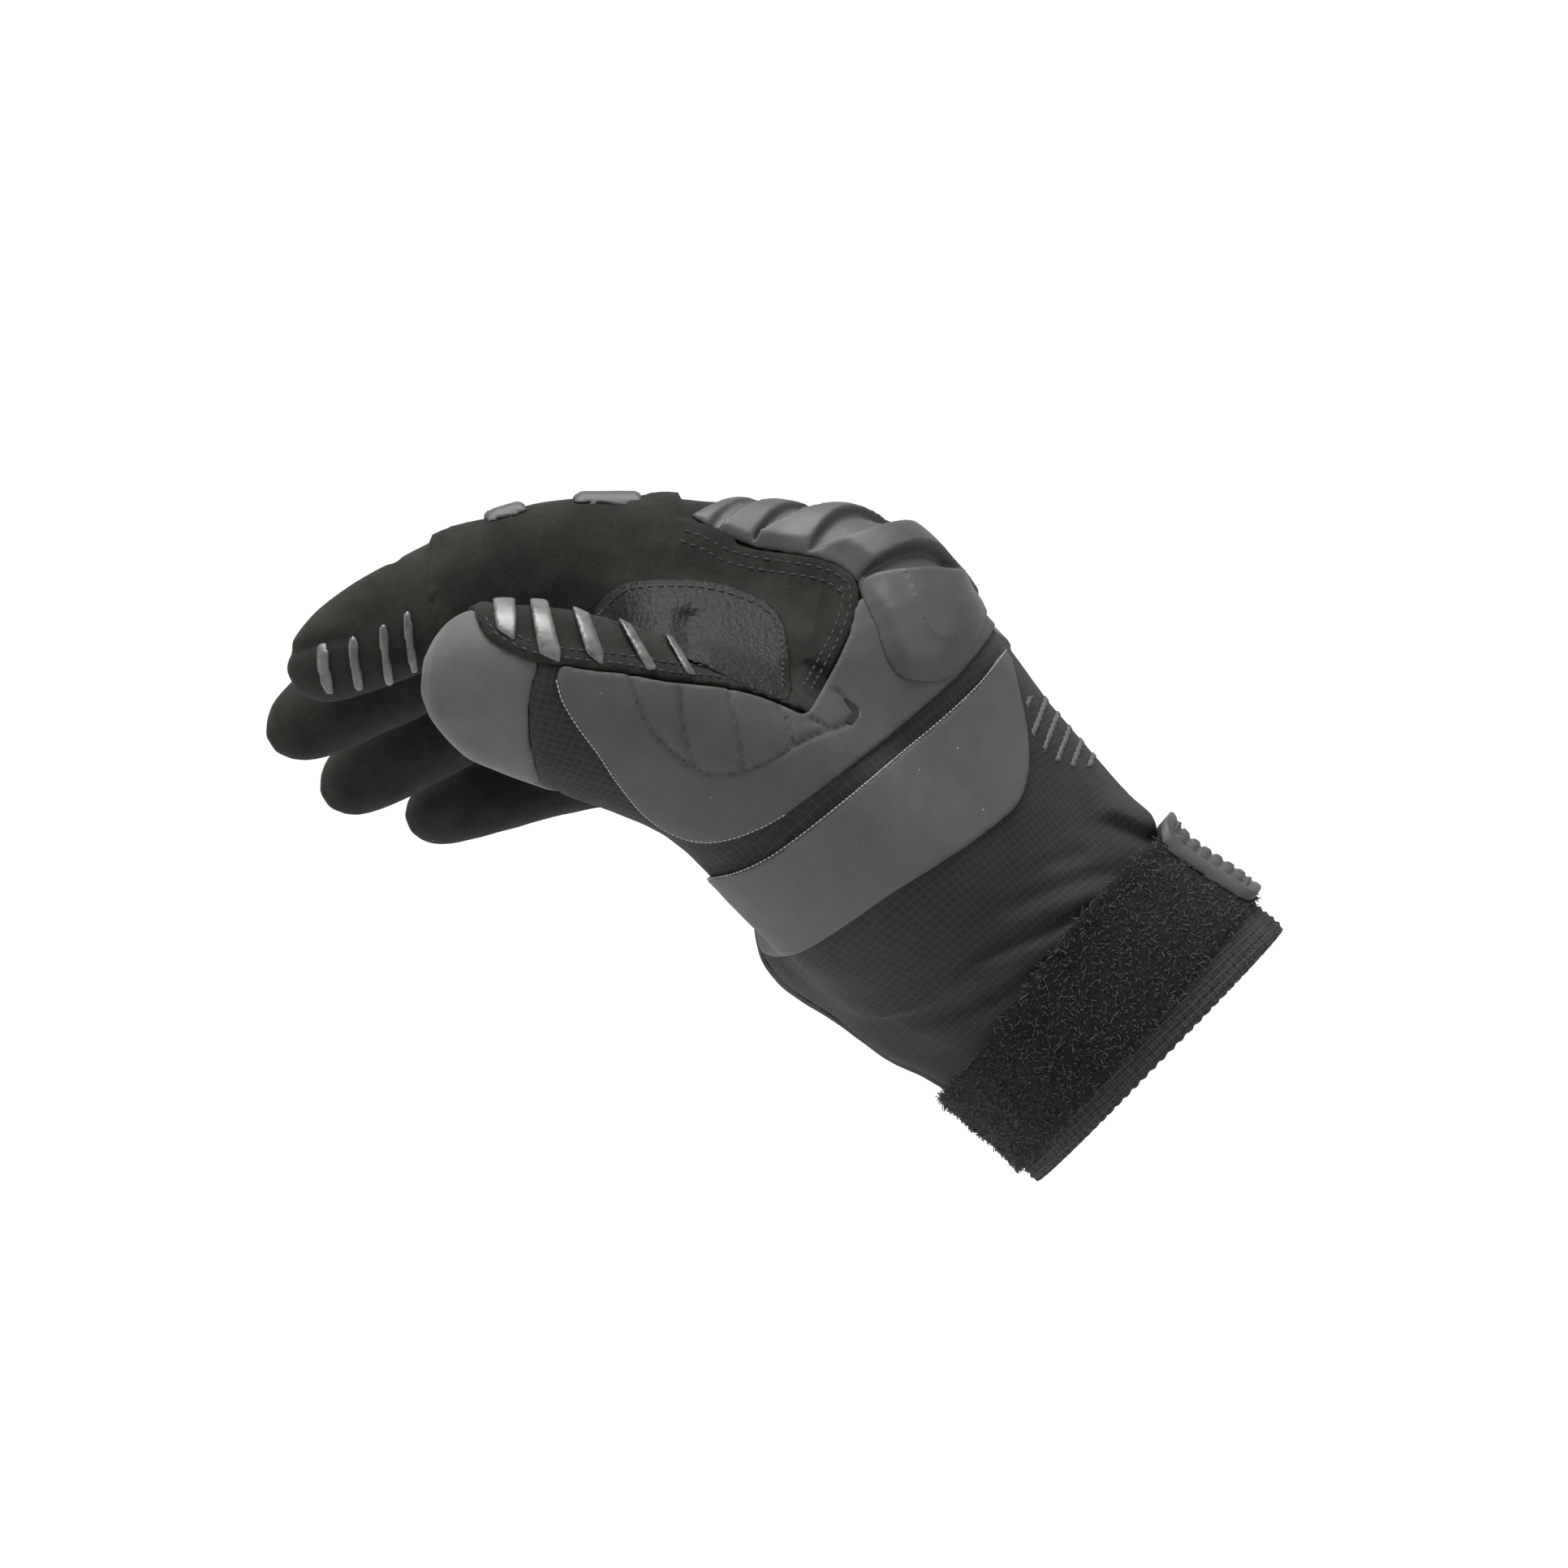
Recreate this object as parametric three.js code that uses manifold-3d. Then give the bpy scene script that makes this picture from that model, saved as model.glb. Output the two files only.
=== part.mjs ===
// Right-hand mechanic's glove in its worn, loosely gripping shape: a hollow sewn shell of
// suede and ripstop panels with moulded rubber guards, a wrist strap and a knit hem.
// Millimetres. Inside the group x runs from the hem to the fingers, y towards the thumb
// side and z towards the back of the hand. The group itself is turned to the worn pose.

import * as THREE from "three";
import { mergeVertices } from "three/addons/utils/BufferGeometryUtils.js";
import { ConvexGeometry } from "three/addons/geometries/ConvexGeometry.js";
import Module from "manifold-3d";

const wasm = await Module();
wasm.setup();

// Driving dimensions

const palmLength = 106; // hem to middle knuckle
const palmWidth = 92; // across the four knuckles
const palmThickness = 36; // at the knuckles
const wall = 1.8; // sewn cloth with its lining foam
const seamGap = 0.3; // between two sewn pieces
const thumbLength = 112; // from the heel of the thumb to its tip
const thumbWidth = 34;
const thumbThickness = 29;
const hemSlant = 0.09; // how far the hem leans out on the palm side
const bindingWidth = 7.5;
const bindingRise = 0.9; // how far the knit stands outside the cloth
const strapWidth = 21;
const strapThickness = 1.9;
const tabWidth = 17; // along the arm
const tabLength = 32; // across the back of the wrist
const tabThickness = 2.6;
const panelThickness = 1.1; // bonded rubberised panels
const patchThickness = 1.2;
const barWidth = 4; // printed grip bars
const barThickness = 0.8;
const guardBase = 2.2; // web of rubber that joins the knuckle ridges
const guardWidth = 80;
const fingerGuardThickness = 1.8;

// How the wrist and hand stand in the worn pose, in degrees
const pose = { pitch: 48.9, roll: 16.1, yaw: -8.5 };

// Fingers: the knuckle's place as shares of the palm's length, width and thickness, the bones
// in mm, the section's width and thickness in mm, and the bends and spread in degrees
const fingers = [
  { name: "index", along: 1.0, across: 0.335, lift: 0.12, bones: [50, 31, 25.5], width: 20.6, thickness: 26.2, bends: [44, 24, 12], spread: 1.5 },
  { name: "middle", along: 1.01, across: 0.105, lift: 0.13, bones: [54, 34, 25], width: 20.6, thickness: 24.5, bends: [48, 27, 7], spread: 0.3 },
  { name: "ring", along: 0.955, across: -0.125, lift: 0.06, bones: [50, 31, 26], width: 20.2, thickness: 23.5, bends: [46, 34, 4], spread: -1 },
  { name: "little", along: 0.87, across: -0.345, lift: -0.12, bones: [40, 24, 22], width: 19.6, thickness: 21.5, bends: [53, 12, 7], spread: -2 },
];
const fingerBase = 0.33; // share of a finger's line that belongs to the hand

// A finger's sections from inside the palm to the tip: place, width and thickness as shares
const fingerSections = [
  { at: 0.0, wide: 0.9, thick: 0.9 },
  { at: 0.14, wide: 1.0, thick: 1.04 },
  { at: 0.36, wide: 1.0, thick: 1.0 },
  { at: 0.55, wide: 1.0, thick: 0.98 },
  { at: 0.68, wide: 0.97, thick: 0.89 },
  { at: 0.8, wide: 0.94, thick: 0.8 },
  { at: 0.89, wide: 0.87, thick: 0.7 },
  { at: 0.965, wide: 0.6, thick: 0.48 },
];

// The hand from hem to knuckles: place, centre, width and thickness as shares. The rows
// around 0.3 to 0.4 carry the folds that gather at the strap.
const palmSections = [
  { at: 0.0, lift: 0.0, wide: 0.79, thick: 1.83, square: 2.1 },
  { at: 0.09, lift: -0.02, wide: 0.78, thick: 1.8, square: 2.1 },
  { at: 0.25, lift: -0.08, wide: 0.75, thick: 1.67, square: 2.15 },
  { at: 0.32, lift: -0.16, wide: 0.79, thick: 1.92, square: 2.15 },
  { at: 0.41, lift: -0.2, wide: 0.78, thick: 1.95, square: 2.2 },
  { at: 0.6, lift: -0.24, wide: 0.87, thick: 2.06, square: 2.3 },
  { at: 0.74, lift: -0.08, wide: 0.93, thick: 1.72, square: 2.4 },
  { at: 0.9, lift: 0.1, wide: 0.96, thick: 1.28, square: 2.5 },
  { at: 1.0, lift: 0.19, wide: 0.93, thick: 1.02, square: 2.5 },
  { at: 1.07, lift: 0.17, wide: 0.84, thick: 0.76, square: 2.3 },
];
const archDrop = 7; // how far the little finger's side sinks towards the palm

// The thumb's centre line as shares of its length, starting from its heel in the palm
const thumbHeel = { along: 0.44, across: 0.2, lift: -0.66 };
const thumbLine = [
  { along: 0.0, across: 0.0, lift: 0.0 },
  { along: 0.18, across: 0.15, lift: -0.04 },
  { along: 0.4, across: 0.31, lift: -0.105 },
  { along: 0.595, across: 0.42, lift: -0.23 },
  { along: 0.735, across: 0.45, lift: -0.34 },
  { along: 0.805, across: 0.455, lift: -0.41 },
];
const thumbNail = new THREE.Vector3(-0.58, 0.72, -0.375);
const thumbBase = 0.42; // share of the thumb's line that belongs to the hand
const thumbSections = [
  { at: 0.0, wide: 1.08, thick: 1.1 },
  { at: 0.15, wide: 1.16, thick: 1.24 },
  { at: 0.34, wide: 1.1, thick: 1.14 },
  { at: 0.56, wide: 1.0, thick: 0.98 },
  { at: 0.75, wide: 0.98, thick: 0.93 },
  { at: 0.86, wide: 0.9, thick: 0.84 },
  { at: 0.935, wide: 0.74, thick: 0.67 },
  { at: 0.98, wide: 0.47, thick: 0.42 },
];

// Side outlines in shares of the palm's length, on a plane beside the knuckles. They run
// through the hand along the side view's slanted direction.
const sidePlane = 45;
const sideSlant = new THREE.Vector3(-0.11, 1, -0.19);

const sidePanelOutline = [
  { along: 1.174, lift: -0.428 },
  { along: 1.084, lift: -0.448 },
  { along: 0.974, lift: -0.457 },
  { along: 0.856, lift: -0.454 },
  { along: 0.807, lift: -0.427 },
  { along: 0.76, lift: -0.355 },
  { along: 0.735, lift: -0.2 },
  { along: 0.733, lift: -0.04 },
  { along: 0.735, lift: 0.11 },
  { along: 0.757, lift: 0.192 },
  { along: 0.847, lift: 0.21 },
  { along: 0.944, lift: 0.092 },
  { along: 0.898, lift: -0.036 },
  { along: 0.858, lift: -0.128 },
  { along: 0.885, lift: -0.174 },
  { along: 1.004, lift: -0.289 },
];

const bandOutline = [
  { along: 0.722, lift: 0.2 },
  { along: 0.634, lift: 0.167 },
  { along: 0.557, lift: 0.122 },
  { along: 0.502, lift: 0.062 },
  { along: 0.478, lift: -0.034 },
  { along: 0.514, lift: -0.252 },
  { along: 0.538, lift: -0.418 },
  { along: 0.565, lift: -0.488 },
  { along: 0.622, lift: -0.504 },
  { along: 0.742, lift: -0.487 },
  { along: 0.732, lift: -0.435 },
  { along: 0.705, lift: -0.274 },
  { along: 0.702, lift: -0.071 },
  { along: 0.715, lift: 0.093 },
];

const patchOutline = [
  { along: 1.234, lift: -0.313 },
  { along: 1.235, lift: -0.27 },
  { along: 1.218, lift: -0.229 },
  { along: 1.135, lift: -0.13 },
  { along: 1.064, lift: -0.087 },
  { along: 0.991, lift: -0.091 },
  { along: 0.901, lift: -0.153 },
  { along: 0.89, lift: -0.207 },
  { along: 1.014, lift: -0.288 },
  { along: 1.17, lift: -0.362 },
];

// The seam between palm suede and back cloth on the thumb side, closed far above the hand
const seamOutline = [
  { along: -0.2, lift: -0.4 },
  { along: 0.08, lift: -0.41 },
  { along: 0.27, lift: -0.44 },
  { along: 0.53, lift: -0.5 },
  { along: 0.84, lift: -0.52 },
  { along: 1.1, lift: -0.48 },
  { along: 1.14, lift: -0.4 },
  { along: 0.885, lift: -0.165 },
  { along: 0.858, lift: -0.142 },
  { along: 0.864, lift: -0.109 },
  { along: 0.908, lift: -0.024 },
  { along: 0.945, lift: 0.05 },
  { along: 0.98, lift: 0.067 },
  { along: 1.035, lift: 0.048 },
  { along: 1.101, lift: -0.009 },
  { along: 1.203, lift: -0.072 },
  { along: 1.4, lift: -0.1 },
  { along: 1.4, lift: 0.9 },
  { along: -0.2, lift: 0.9 },
];
const farSeamLift = -0.1; // height of the same seam on the little finger's side

// The knuckle guard's nearest lobe in the same side view
const lobeOutline = [
  { along: 0.96, lift: 0.1 },
  { along: 0.888, lift: 0.044 },
  { along: 0.825, lift: 0.018 },
  { along: 0.779, lift: 0.025 },
  { along: 0.752, lift: 0.049 },
  { along: 0.741, lift: 0.107 },
  { along: 0.76, lift: 0.17 },
  { along: 0.8, lift: 0.27 },
  { along: 0.87, lift: 0.35 },
  { along: 0.93, lift: 0.3 },
];

// The part of the back of the hand that the whole guard covers
const guardOutline = [
  { along: 0.75, lift: 0.12 },
  { along: 1.0, lift: 0.02 },
  { along: 1.32, lift: -0.12 },
  { along: 1.32, lift: 0.6 },
  { along: 0.93, lift: 0.6 },
];

// Ridges of the knuckle guard: place on the palm's length and thickness, lean in degrees,
// length at the foot and at the crest, height above the cloth, in mm
const ridges = [
  { name: "first", along: 1.24, lift: 0.08, lean: 50, foot: 9, crest: 5, rise: 2.6 },
  { name: "second", along: 1.17, lift: 0.33, lean: 44, foot: 10, crest: 6, rise: 3.6 },
  { name: "third", along: 1.07, lift: 0.56, lean: 34, foot: 14, crest: 10, rise: 5.2 },
  { name: "fourth", along: 0.95, lift: 0.75, lean: 14, foot: 13, crest: 9, rise: 7 },
];

const palmSides = 19;
const fingerSides = 9;
const hollowMouth = 12; // how far the hollow's form runs out past the hem
const beside = 100; // how far the cutting plates start beside the hand
const panelReach = 12; // how far through the hand each panel's outline reaches
const bandReach = 5;
const patchReach = 18;

// Solids

const radians = THREE.MathUtils.degToRad;
const mix = THREE.MathUtils.lerp;

function solid(geometry) {
  const bare = geometry.index ? geometry.toNonIndexed() : geometry.clone();
  for (const name of Object.keys(bare.attributes)) {
    if (name !== "position") bare.deleteAttribute(name);
  }
  const merged = mergeVertices(bare, 1e-4);
  return new wasm.Manifold(
    new wasm.Mesh({
      numProp: 3,
      vertProperties: new Float32Array(merged.attributes.position.array),
      triVerts: new Uint32Array(merged.index.array),
    }),
  );
}

const join = (forms) => forms.reduce((a, b) => a.add(b));
const largest = (form) => form.decompose().sort((a, b) => b.volume() - a.volume())[0];

// A closed skin through rings of equal count, with a fan over each end.
function loft(rings) {
  const sides = rings[0].length;
  const vertices = rings.flat();
  const faces = [];
  for (let i = 0; i < rings.length - 1; i++) {
    for (let j = 0; j < sides; j++) {
      const k = (j + 1) % sides;
      const [a, b, c, d] = [i * sides + j, i * sides + k, (i + 1) * sides + j, (i + 1) * sides + k];
      faces.push(a, b, c, b, d, c);
    }
  }
  for (const start of [0, (rings.length - 1) * sides]) {
    const centre = new THREE.Vector3();
    for (let j = 0; j < sides; j++) centre.addScaledVector(vertices[start + j], 1 / sides);
    vertices.push(centre);
    for (let j = 0; j < sides; j++) {
      const [p, q] = [start + j, start + ((j + 1) % sides)];
      faces.push(vertices.length - 1, start === 0 ? q : p, start === 0 ? p : q);
    }
  }
  const geometry = new THREE.BufferGeometry().setFromPoints(vertices);
  geometry.setIndex(faces);
  return solid(geometry);
}

// One closed ring: a rounded section about a centre, with side and up as its half axes.
function ring(centre, side, up, sides, square = 2) {
  const power = 2 / square;
  return Array.from({ length: sides }, (_, j) => {
    const turn = (2 * Math.PI * j) / sides;
    const [c, s] = [Math.cos(turn), Math.sin(turn)];
    return centre
      .clone()
      .addScaledVector(side, Math.sign(c) * Math.abs(c) ** power)
      .addScaledVector(up, Math.sign(s) * Math.abs(s) ** power);
  });
}

function box(size, place, turn = new THREE.Euler()) {
  const geometry = new THREE.BoxGeometry(size.x, size.y, size.z);
  geometry.applyQuaternion(new THREE.Quaternion().setFromEuler(turn));
  return solid(geometry.translate(place.x, place.y, place.z));
}

// A plate with a side outline, reaching from beside the hand to a given depth.
function sidePrism(rows, { round = 0, far = 0, slant = sideSlant, near = beside } = {}) {
  let points = rows.map(({ along, lift }) => new THREE.Vector3(along * palmLength, lift * palmLength, 0));
  if (round) points = new THREE.CatmullRomCurve3(points, true, "centripetal").getPoints(round).slice(0, -1);
  const shape = new THREE.Shape(points.map((p) => new THREE.Vector2(p.x, p.y)));
  const geometry = new THREE.ExtrudeGeometry(shape, { depth: near - far, steps: 1, bevelEnabled: false });
  const start = slant.clone().multiplyScalar(near - sidePlane).setY(near);
  const basis = new THREE.Matrix4().makeBasis(
    new THREE.Vector3(1, 0, 0),
    new THREE.Vector3(0, 0, 1),
    slant.clone().negate(),
  );
  return solid(geometry.applyMatrix4(basis.setPosition(start)));
}

// Digits: a centre line with a frame at each place along it

function fingerLine(finger) {
  const turn = radians(finger.spread);
  const side = new THREE.Vector3(-Math.sin(turn), Math.cos(turn), 0);
  const forward = new THREE.Vector3(Math.cos(turn), Math.sin(turn), 0);
  const point = new THREE.Vector3(finger.along * palmLength, finger.across * palmWidth, finger.lift * palmThickness);
  const points = [point.clone().addScaledVector(forward, -finger.thickness), point.clone()];
  let bend = 0;
  finger.bones.forEach((bone, i) => {
    bend += radians(finger.bends[i]);
    point.addScaledVector(forward, bone * Math.cos(bend));
    point.z -= bone * Math.sin(bend);
    points.push(point.clone());
  });
  return { curve: new THREE.CatmullRomCurve3(points, false, "centripetal"), side };
}

function thumbCurve() {
  const heel = new THREE.Vector3(thumbHeel.along * palmLength, thumbHeel.across * palmWidth, thumbHeel.lift * palmThickness);
  const points = thumbLine.map(({ along, across, lift }) =>
    heel.clone().add(new THREE.Vector3(along, across, lift).multiplyScalar(thumbLength)),
  );
  return { curve: new THREE.CatmullRomCurve3(points, false, "centripetal"), nail: thumbNail };
}

// The frame of a digit's section: centre, forward, side and up.
function frameAt(line, at) {
  const centre = line.curve.getPointAt(at);
  const forward = line.curve.getTangentAt(at);
  const side = line.side ? line.side.clone() : new THREE.Vector3().crossVectors(line.nail, forward).normalize();
  const up = new THREE.Vector3().crossVectors(forward, side).normalize();
  return { centre, forward, side, up };
}

const digits = [
  ...fingers.map((finger) => ({ ...finger, line: fingerLine(finger), sections: fingerSections, base: fingerBase })),
  {
    name: "thumb",
    width: thumbWidth,
    thickness: thumbThickness,
    line: thumbCurve(),
    sections: thumbSections,
    base: thumbBase,
  },
];
const [index, middle, , , thumb] = digits;

// A value of a digit's section table at any place along it.
function sectionValue(digit, at, column) {
  const rows = digit.sections;
  const next = rows.findIndex((row) => row.at >= at);
  if (next === 0) return rows[0][column];
  if (next < 0) return rows[rows.length - 1][column];
  const [a, b] = [rows[next - 1], rows[next]];
  return mix(a[column], b[column], (at - a.at) / (b.at - a.at));
}

// A digit's outer form, grown by an offset, between two places along it.
function digitForm(digit, offset, from = 0, to = 1, sides = fingerSides) {
  const rows = [...digit.sections.map((row) => row.at), digit.base].sort((a, b) => a - b);
  const places = [from, ...rows.filter((at) => at > from && at < to)];
  if (to < 1) places.push(to);
  const rings = places.map((at) => {
    const { centre, side, up } = frameAt(digit.line, at);
    side.multiplyScalar((sectionValue(digit, at, "wide") * digit.width) / 2 + offset);
    up.multiplyScalar((sectionValue(digit, at, "thick") * digit.thickness) / 2 + offset);
    return ring(centre, side, up, sides, 2.15);
  });
  if (to === 1) {
    const { centre, forward, side, up } = frameAt(digit.line, 1);
    centre.addScaledVector(forward, offset);
    rings.push(ring(centre, side.multiplyScalar(0.7), up.multiplyScalar(0.6), sides));
  }
  return loft(rings);
}

// A swept block beside a digit's line: its low and high sides and half width are shares of
// the section's half thickness and half width.
function digitBlock(digit, { from, to, low, high, left = -1.3, right = 1.3, steps = 8, lean = 0, roll = 0 }) {
  const rings = Array.from({ length: steps + 1 }, (_, i) => {
    const at = mix(from, to, i / steps);
    const corner = (share, height) => {
      const moved = Math.min(Math.max(at + (lean * height) / 2, 0), 1);
      const { centre, forward, side, up } = frameAt(digit.line, moved);
      side.applyAxisAngle(forward, radians(roll));
      up.applyAxisAngle(forward, radians(roll));
      const wide = (digit.width * share) / 2;
      const tall = (digit.thickness * height) / 2;
      return centre.addScaledVector(side, wide).addScaledVector(up, tall);
    };
    return [corner(right, low), corner(right, high), corner(left, high), corner(left, low)];
  });
  return loft(rings);
}

// The hand's own form, grown by an offset. The hem leans; the little finger's side sinks.
function palmForm(offset, beyond = 0, sides = palmSides) {
  const rings = palmSections.map((row, i) => {
    const last = i === palmSections.length - 1;
    const x = row.at * palmLength - (i === 0 ? beyond : 0) + (last ? offset : 0);
    const centre = new THREE.Vector3(x, 0, row.lift * palmThickness);
    const side = new THREE.Vector3(0, (row.wide * palmWidth) / 2 + offset, 0);
    const up = new THREE.Vector3(0, 0, (row.thick * palmThickness) / 2 + offset);
    return ring(centre, side, up, sides, row.square).map((p) => {
      const inward = Math.min(0, (p.y - middle.across * palmWidth) / palmWidth);
      const share = x / palmLength;
      p.x += hemSlant * p.z * (1 - THREE.MathUtils.smoothstep(share, 0.1, 0.4));
      p.z -= archDrop * 4 * inward * inward * THREE.MathUtils.smoothstep(share, 0.4, 1);
      return p;
    });
  });
  return loft(rings);
}

// The fold of suede between thumb and index finger, and the thick heel of the thumb.
function webForm(offset, detail = 1) {
  const balls = [
    { p: frameAt(thumb.line, 0.2).centre, r: thumbThickness * 0.46 },
    { p: frameAt(thumb.line, 0.58).centre, r: thumbThickness * 0.3 },
    { p: frameAt(index.line, 0.44).centre, r: index.thickness * 0.34 },
    { p: frameAt(index.line, 0.1).centre, r: index.thickness * 0.42 },
    { p: new THREE.Vector3(0.5 * palmLength, 0.2 * palmWidth, -0.25 * palmThickness), r: 0.45 * palmThickness },
  ];
  const points = balls.flatMap(({ p, r }) => {
    const ball = new THREE.IcosahedronGeometry(r + offset, detail).translate(p.x, p.y, p.z);
    const at = ball.attributes.position;
    return Array.from({ length: at.count }, (_, i) => new THREE.Vector3().fromBufferAttribute(at, i));
  });
  return solid(new ConvexGeometry(points));
}

// The whole hand grown by an offset, and the coarser form of its hollow.
function handForm(offset) {
  return join([palmForm(offset), webForm(offset), ...digits.map((digit) => digitForm(digit, offset))]);
}

function hollowForm() {
  const inside = digits.map((digit) => digitForm(digit, -wall, 0, 1, 7));
  return join([palmForm(-wall, hollowMouth, 14), webForm(-wall, 0), ...inside]);
}

// A sheet lying on the hand, between two heights above the cloth.
function sheet(low, high) {
  return handForm(high).subtract(handForm(low));
}

// The same without the thumb and its web, for what lies on the back of the knuckles.
function knuckleSheet(low, high) {
  const form = (offset, palm, finger) =>
    join([palmForm(offset, 0, palm), ...digits.slice(0, 4).map((digit) => digitForm(digit, offset, 0, 0.55, finger))]);
  return form(high, 14, 7).subtract(form(low));
}

// Shell

const hollow = hollowForm();
const digitShells = digits.map((digit) => digitForm(digit, 0, digit.base).subtract(hollow));
const grownDigits = digits.map((digit) => digitForm(digit, seamGap, digit.base - 0.004));
const hemEdge = bindingWidth + seamGap;
const hemBox = (end) =>
  sidePrism(
    [
      { along: -0.5, lift: -1 },
      { along: end / palmLength - hemSlant, lift: -1 },
      { along: end / palmLength + hemSlant, lift: 1 },
      { along: -0.5, lift: 1 },
    ],
    { far: -beside, slant: new THREE.Vector3(0, 1, 0) },
  );

const rootForm = (offset) =>
  join([palmForm(offset), webForm(offset), ...digits.map((digit) => digitForm(digit, offset, 0, digit.base))]);
const handShell = [hollow, ...grownDigits, hemBox(hemEdge)].reduce((a, b) => a.subtract(b), rootForm(0));

// A side outline's plate, grown all round by a gap.
function grownPrism(rows, options, grow) {
  const share = grow / palmLength;
  const shifts = [[0, share], [0, -share], [share, 0], [-share, 0]];
  return join(shifts.map(([x, z]) => sidePrism(rows.map(({ along, lift }) => ({ along: along + x, lift: lift + z })), options)));
}

// What belongs to the back of the hand, grown by the seam's gap when asked.
function backSide(grow) {
  const nearSide = grow ? grownPrism(seamOutline, { far: 0 }, grow) : sidePrism(seamOutline, { far: 0 });
  const farSide = box(
    new THREE.Vector3(2 * palmLength, palmWidth + 0.02, palmLength),
    new THREE.Vector3(0.5 * palmLength, -palmWidth / 2, farSeamLift * palmThickness + palmLength / 2 - grow),
  );
  return nearSide.add(farSide);
}

const look = {
  suede: new THREE.MeshStandardMaterial({ color: 0x24241f, roughness: 0.95, metalness: 0 }),
  ripstop: new THREE.MeshStandardMaterial({ color: 0x2c2c2d, roughness: 0.9, metalness: 0 }),
  rubber: new THREE.MeshStandardMaterial({ color: 0x4c4c4b, roughness: 0.6, metalness: 0 }),
  coated: new THREE.MeshStandardMaterial({ color: 0x4e4e4d, roughness: 0.75, metalness: 0 }),
  knit: new THREE.MeshStandardMaterial({ color: 0x565655, roughness: 0.85, metalness: 0 }),
  grained: new THREE.MeshStandardMaterial({ color: 0x2a2a2a, roughness: 0.5, metalness: 0 }),
  silicone: new THREE.MeshStandardMaterial({ color: 0x6c6c6a, roughness: 0.5, metalness: 0 }),
  loop: new THREE.MeshStandardMaterial({ color: 0x2e2e2f, roughness: 0.95, metalness: 0 }),
  ribbed: new THREE.MeshStandardMaterial({ color: 0x262627, roughness: 0.95, metalness: 0 }),
};

function mesh(name, form, material) {
  const made = form.getMesh();
  const geometry = new THREE.BufferGeometry();
  geometry.setAttribute("position", new THREE.BufferAttribute(new Float32Array(made.vertProperties), made.numProp));
  geometry.setIndex(new THREE.BufferAttribute(new Uint32Array(made.triVerts), 1));
  const result = new THREE.Mesh(geometry, material);
  result.name = name;
  return result;
}

// Pieces

function backPanel() {
  return mesh("back_panel", largest(handShell.intersect(backSide(0))), look.ripstop);
}

function palmPanel() {
  return mesh("palm_panel", largest(handShell.subtract(backSide(seamGap))), look.suede);
}

// The strip on a finger's back that lies under the guards. The index finger's suede comes
// further up on its thumb side.
function backStrip(digit) {
  return { left: -0.7, right: digit === index ? 0.3 : 0.6 };
}

function fingerBack(digit, i) {
  const { left, right } = backStrip(digit);
  const strip = digitBlock(digit, { from: digit.base - 0.05, to: 0.8, low: 0.3, high: 1.6, left, right });
  return mesh(`${digit.name}_back`, largest(digitShells[i].intersect(strip)), look.ripstop);
}

function fingerPalmSide(digit, i) {
  const grow = (2 * seamGap) / digit.width;
  const { left, right } = backStrip(digit);
  const strip = digitBlock(digit, {
    from: digit.base - 0.05,
    to: 0.8 + grow / 10,
    low: 0.3 - grow,
    high: 1.6,
    left: left - grow,
    right: right + grow,
  });
  return mesh(`${digit.name}_palm_side`, largest(digitShells[i].subtract(strip)), look.suede);
}

// The suede strip on the thumb's palm side, and the cuts that end it below the cap.
const thumbSeam = { roll: -43, high: -0.13 };
const thumbSuedeEnd = 0.92;
const capStart = 0.74;

function thumbStrip(grow) {
  return digitBlock(thumb, {
    from: 0.3,
    to: thumbSuedeEnd + grow / 50,
    low: -1.8,
    high: thumbSeam.high + grow / 12,
    left: -1.5,
    right: 1.5,
    roll: thumbSeam.roll,
  });
}

function thumbTipBlock(grow) {
  return digitBlock(thumb, { from: capStart - grow / 90, to: 1, low: -1.8, high: 1.8, left: -1.7, right: 1.7, lean: -0.06 }).add(
    digitForm(thumb, 3, 0.9),
  );
}

function thumbPalmSide() {
  return mesh("thumb_palm_side", largest(digitShells[4].intersect(thumbStrip(0))), look.suede);
}

function thumbCap() {
  return mesh("thumb_cap", largest(digitShells[4].subtract(thumbStrip(seamGap)).intersect(thumbTipBlock(0))), look.knit);
}

function thumbBack() {
  const rest = digitShells[4].subtract(thumbStrip(seamGap)).subtract(thumbTipBlock(seamGap));
  return mesh("thumb_back", largest(rest), look.ripstop);
}

const panelSheet = sheet(seamGap, seamGap + panelThickness);

function sidePanel() {
  const form = panelSheet
    .intersect(sidePrism(sidePanelOutline, { far: panelReach }))
    .subtract(grownPrism(lobeOutline, lobeReach, seamGap))
    .subtract(grownPrism(guardOutline, guardReach, seamGap).subtract(suedeCorner));
  return mesh("side_panel", largest(form), look.coated);
}

function bandPanel() {
  const form = panelSheet.intersect(sidePrism(bandOutline, { round: 20, far: bandReach }));
  return mesh("band_panel", largest(form), look.coated);
}

function saddlePatch() {
  const above = thumbStrip(0).add(digitForm(thumb, 2.4, 0.3));
  const form = sheet(seamGap, seamGap + patchThickness)
    .subtract(above)
    .intersect(sidePrism(patchOutline, { round: 16, far: patchReach }));
  return mesh("saddle_patch", largest(form), look.grained);
}

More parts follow.
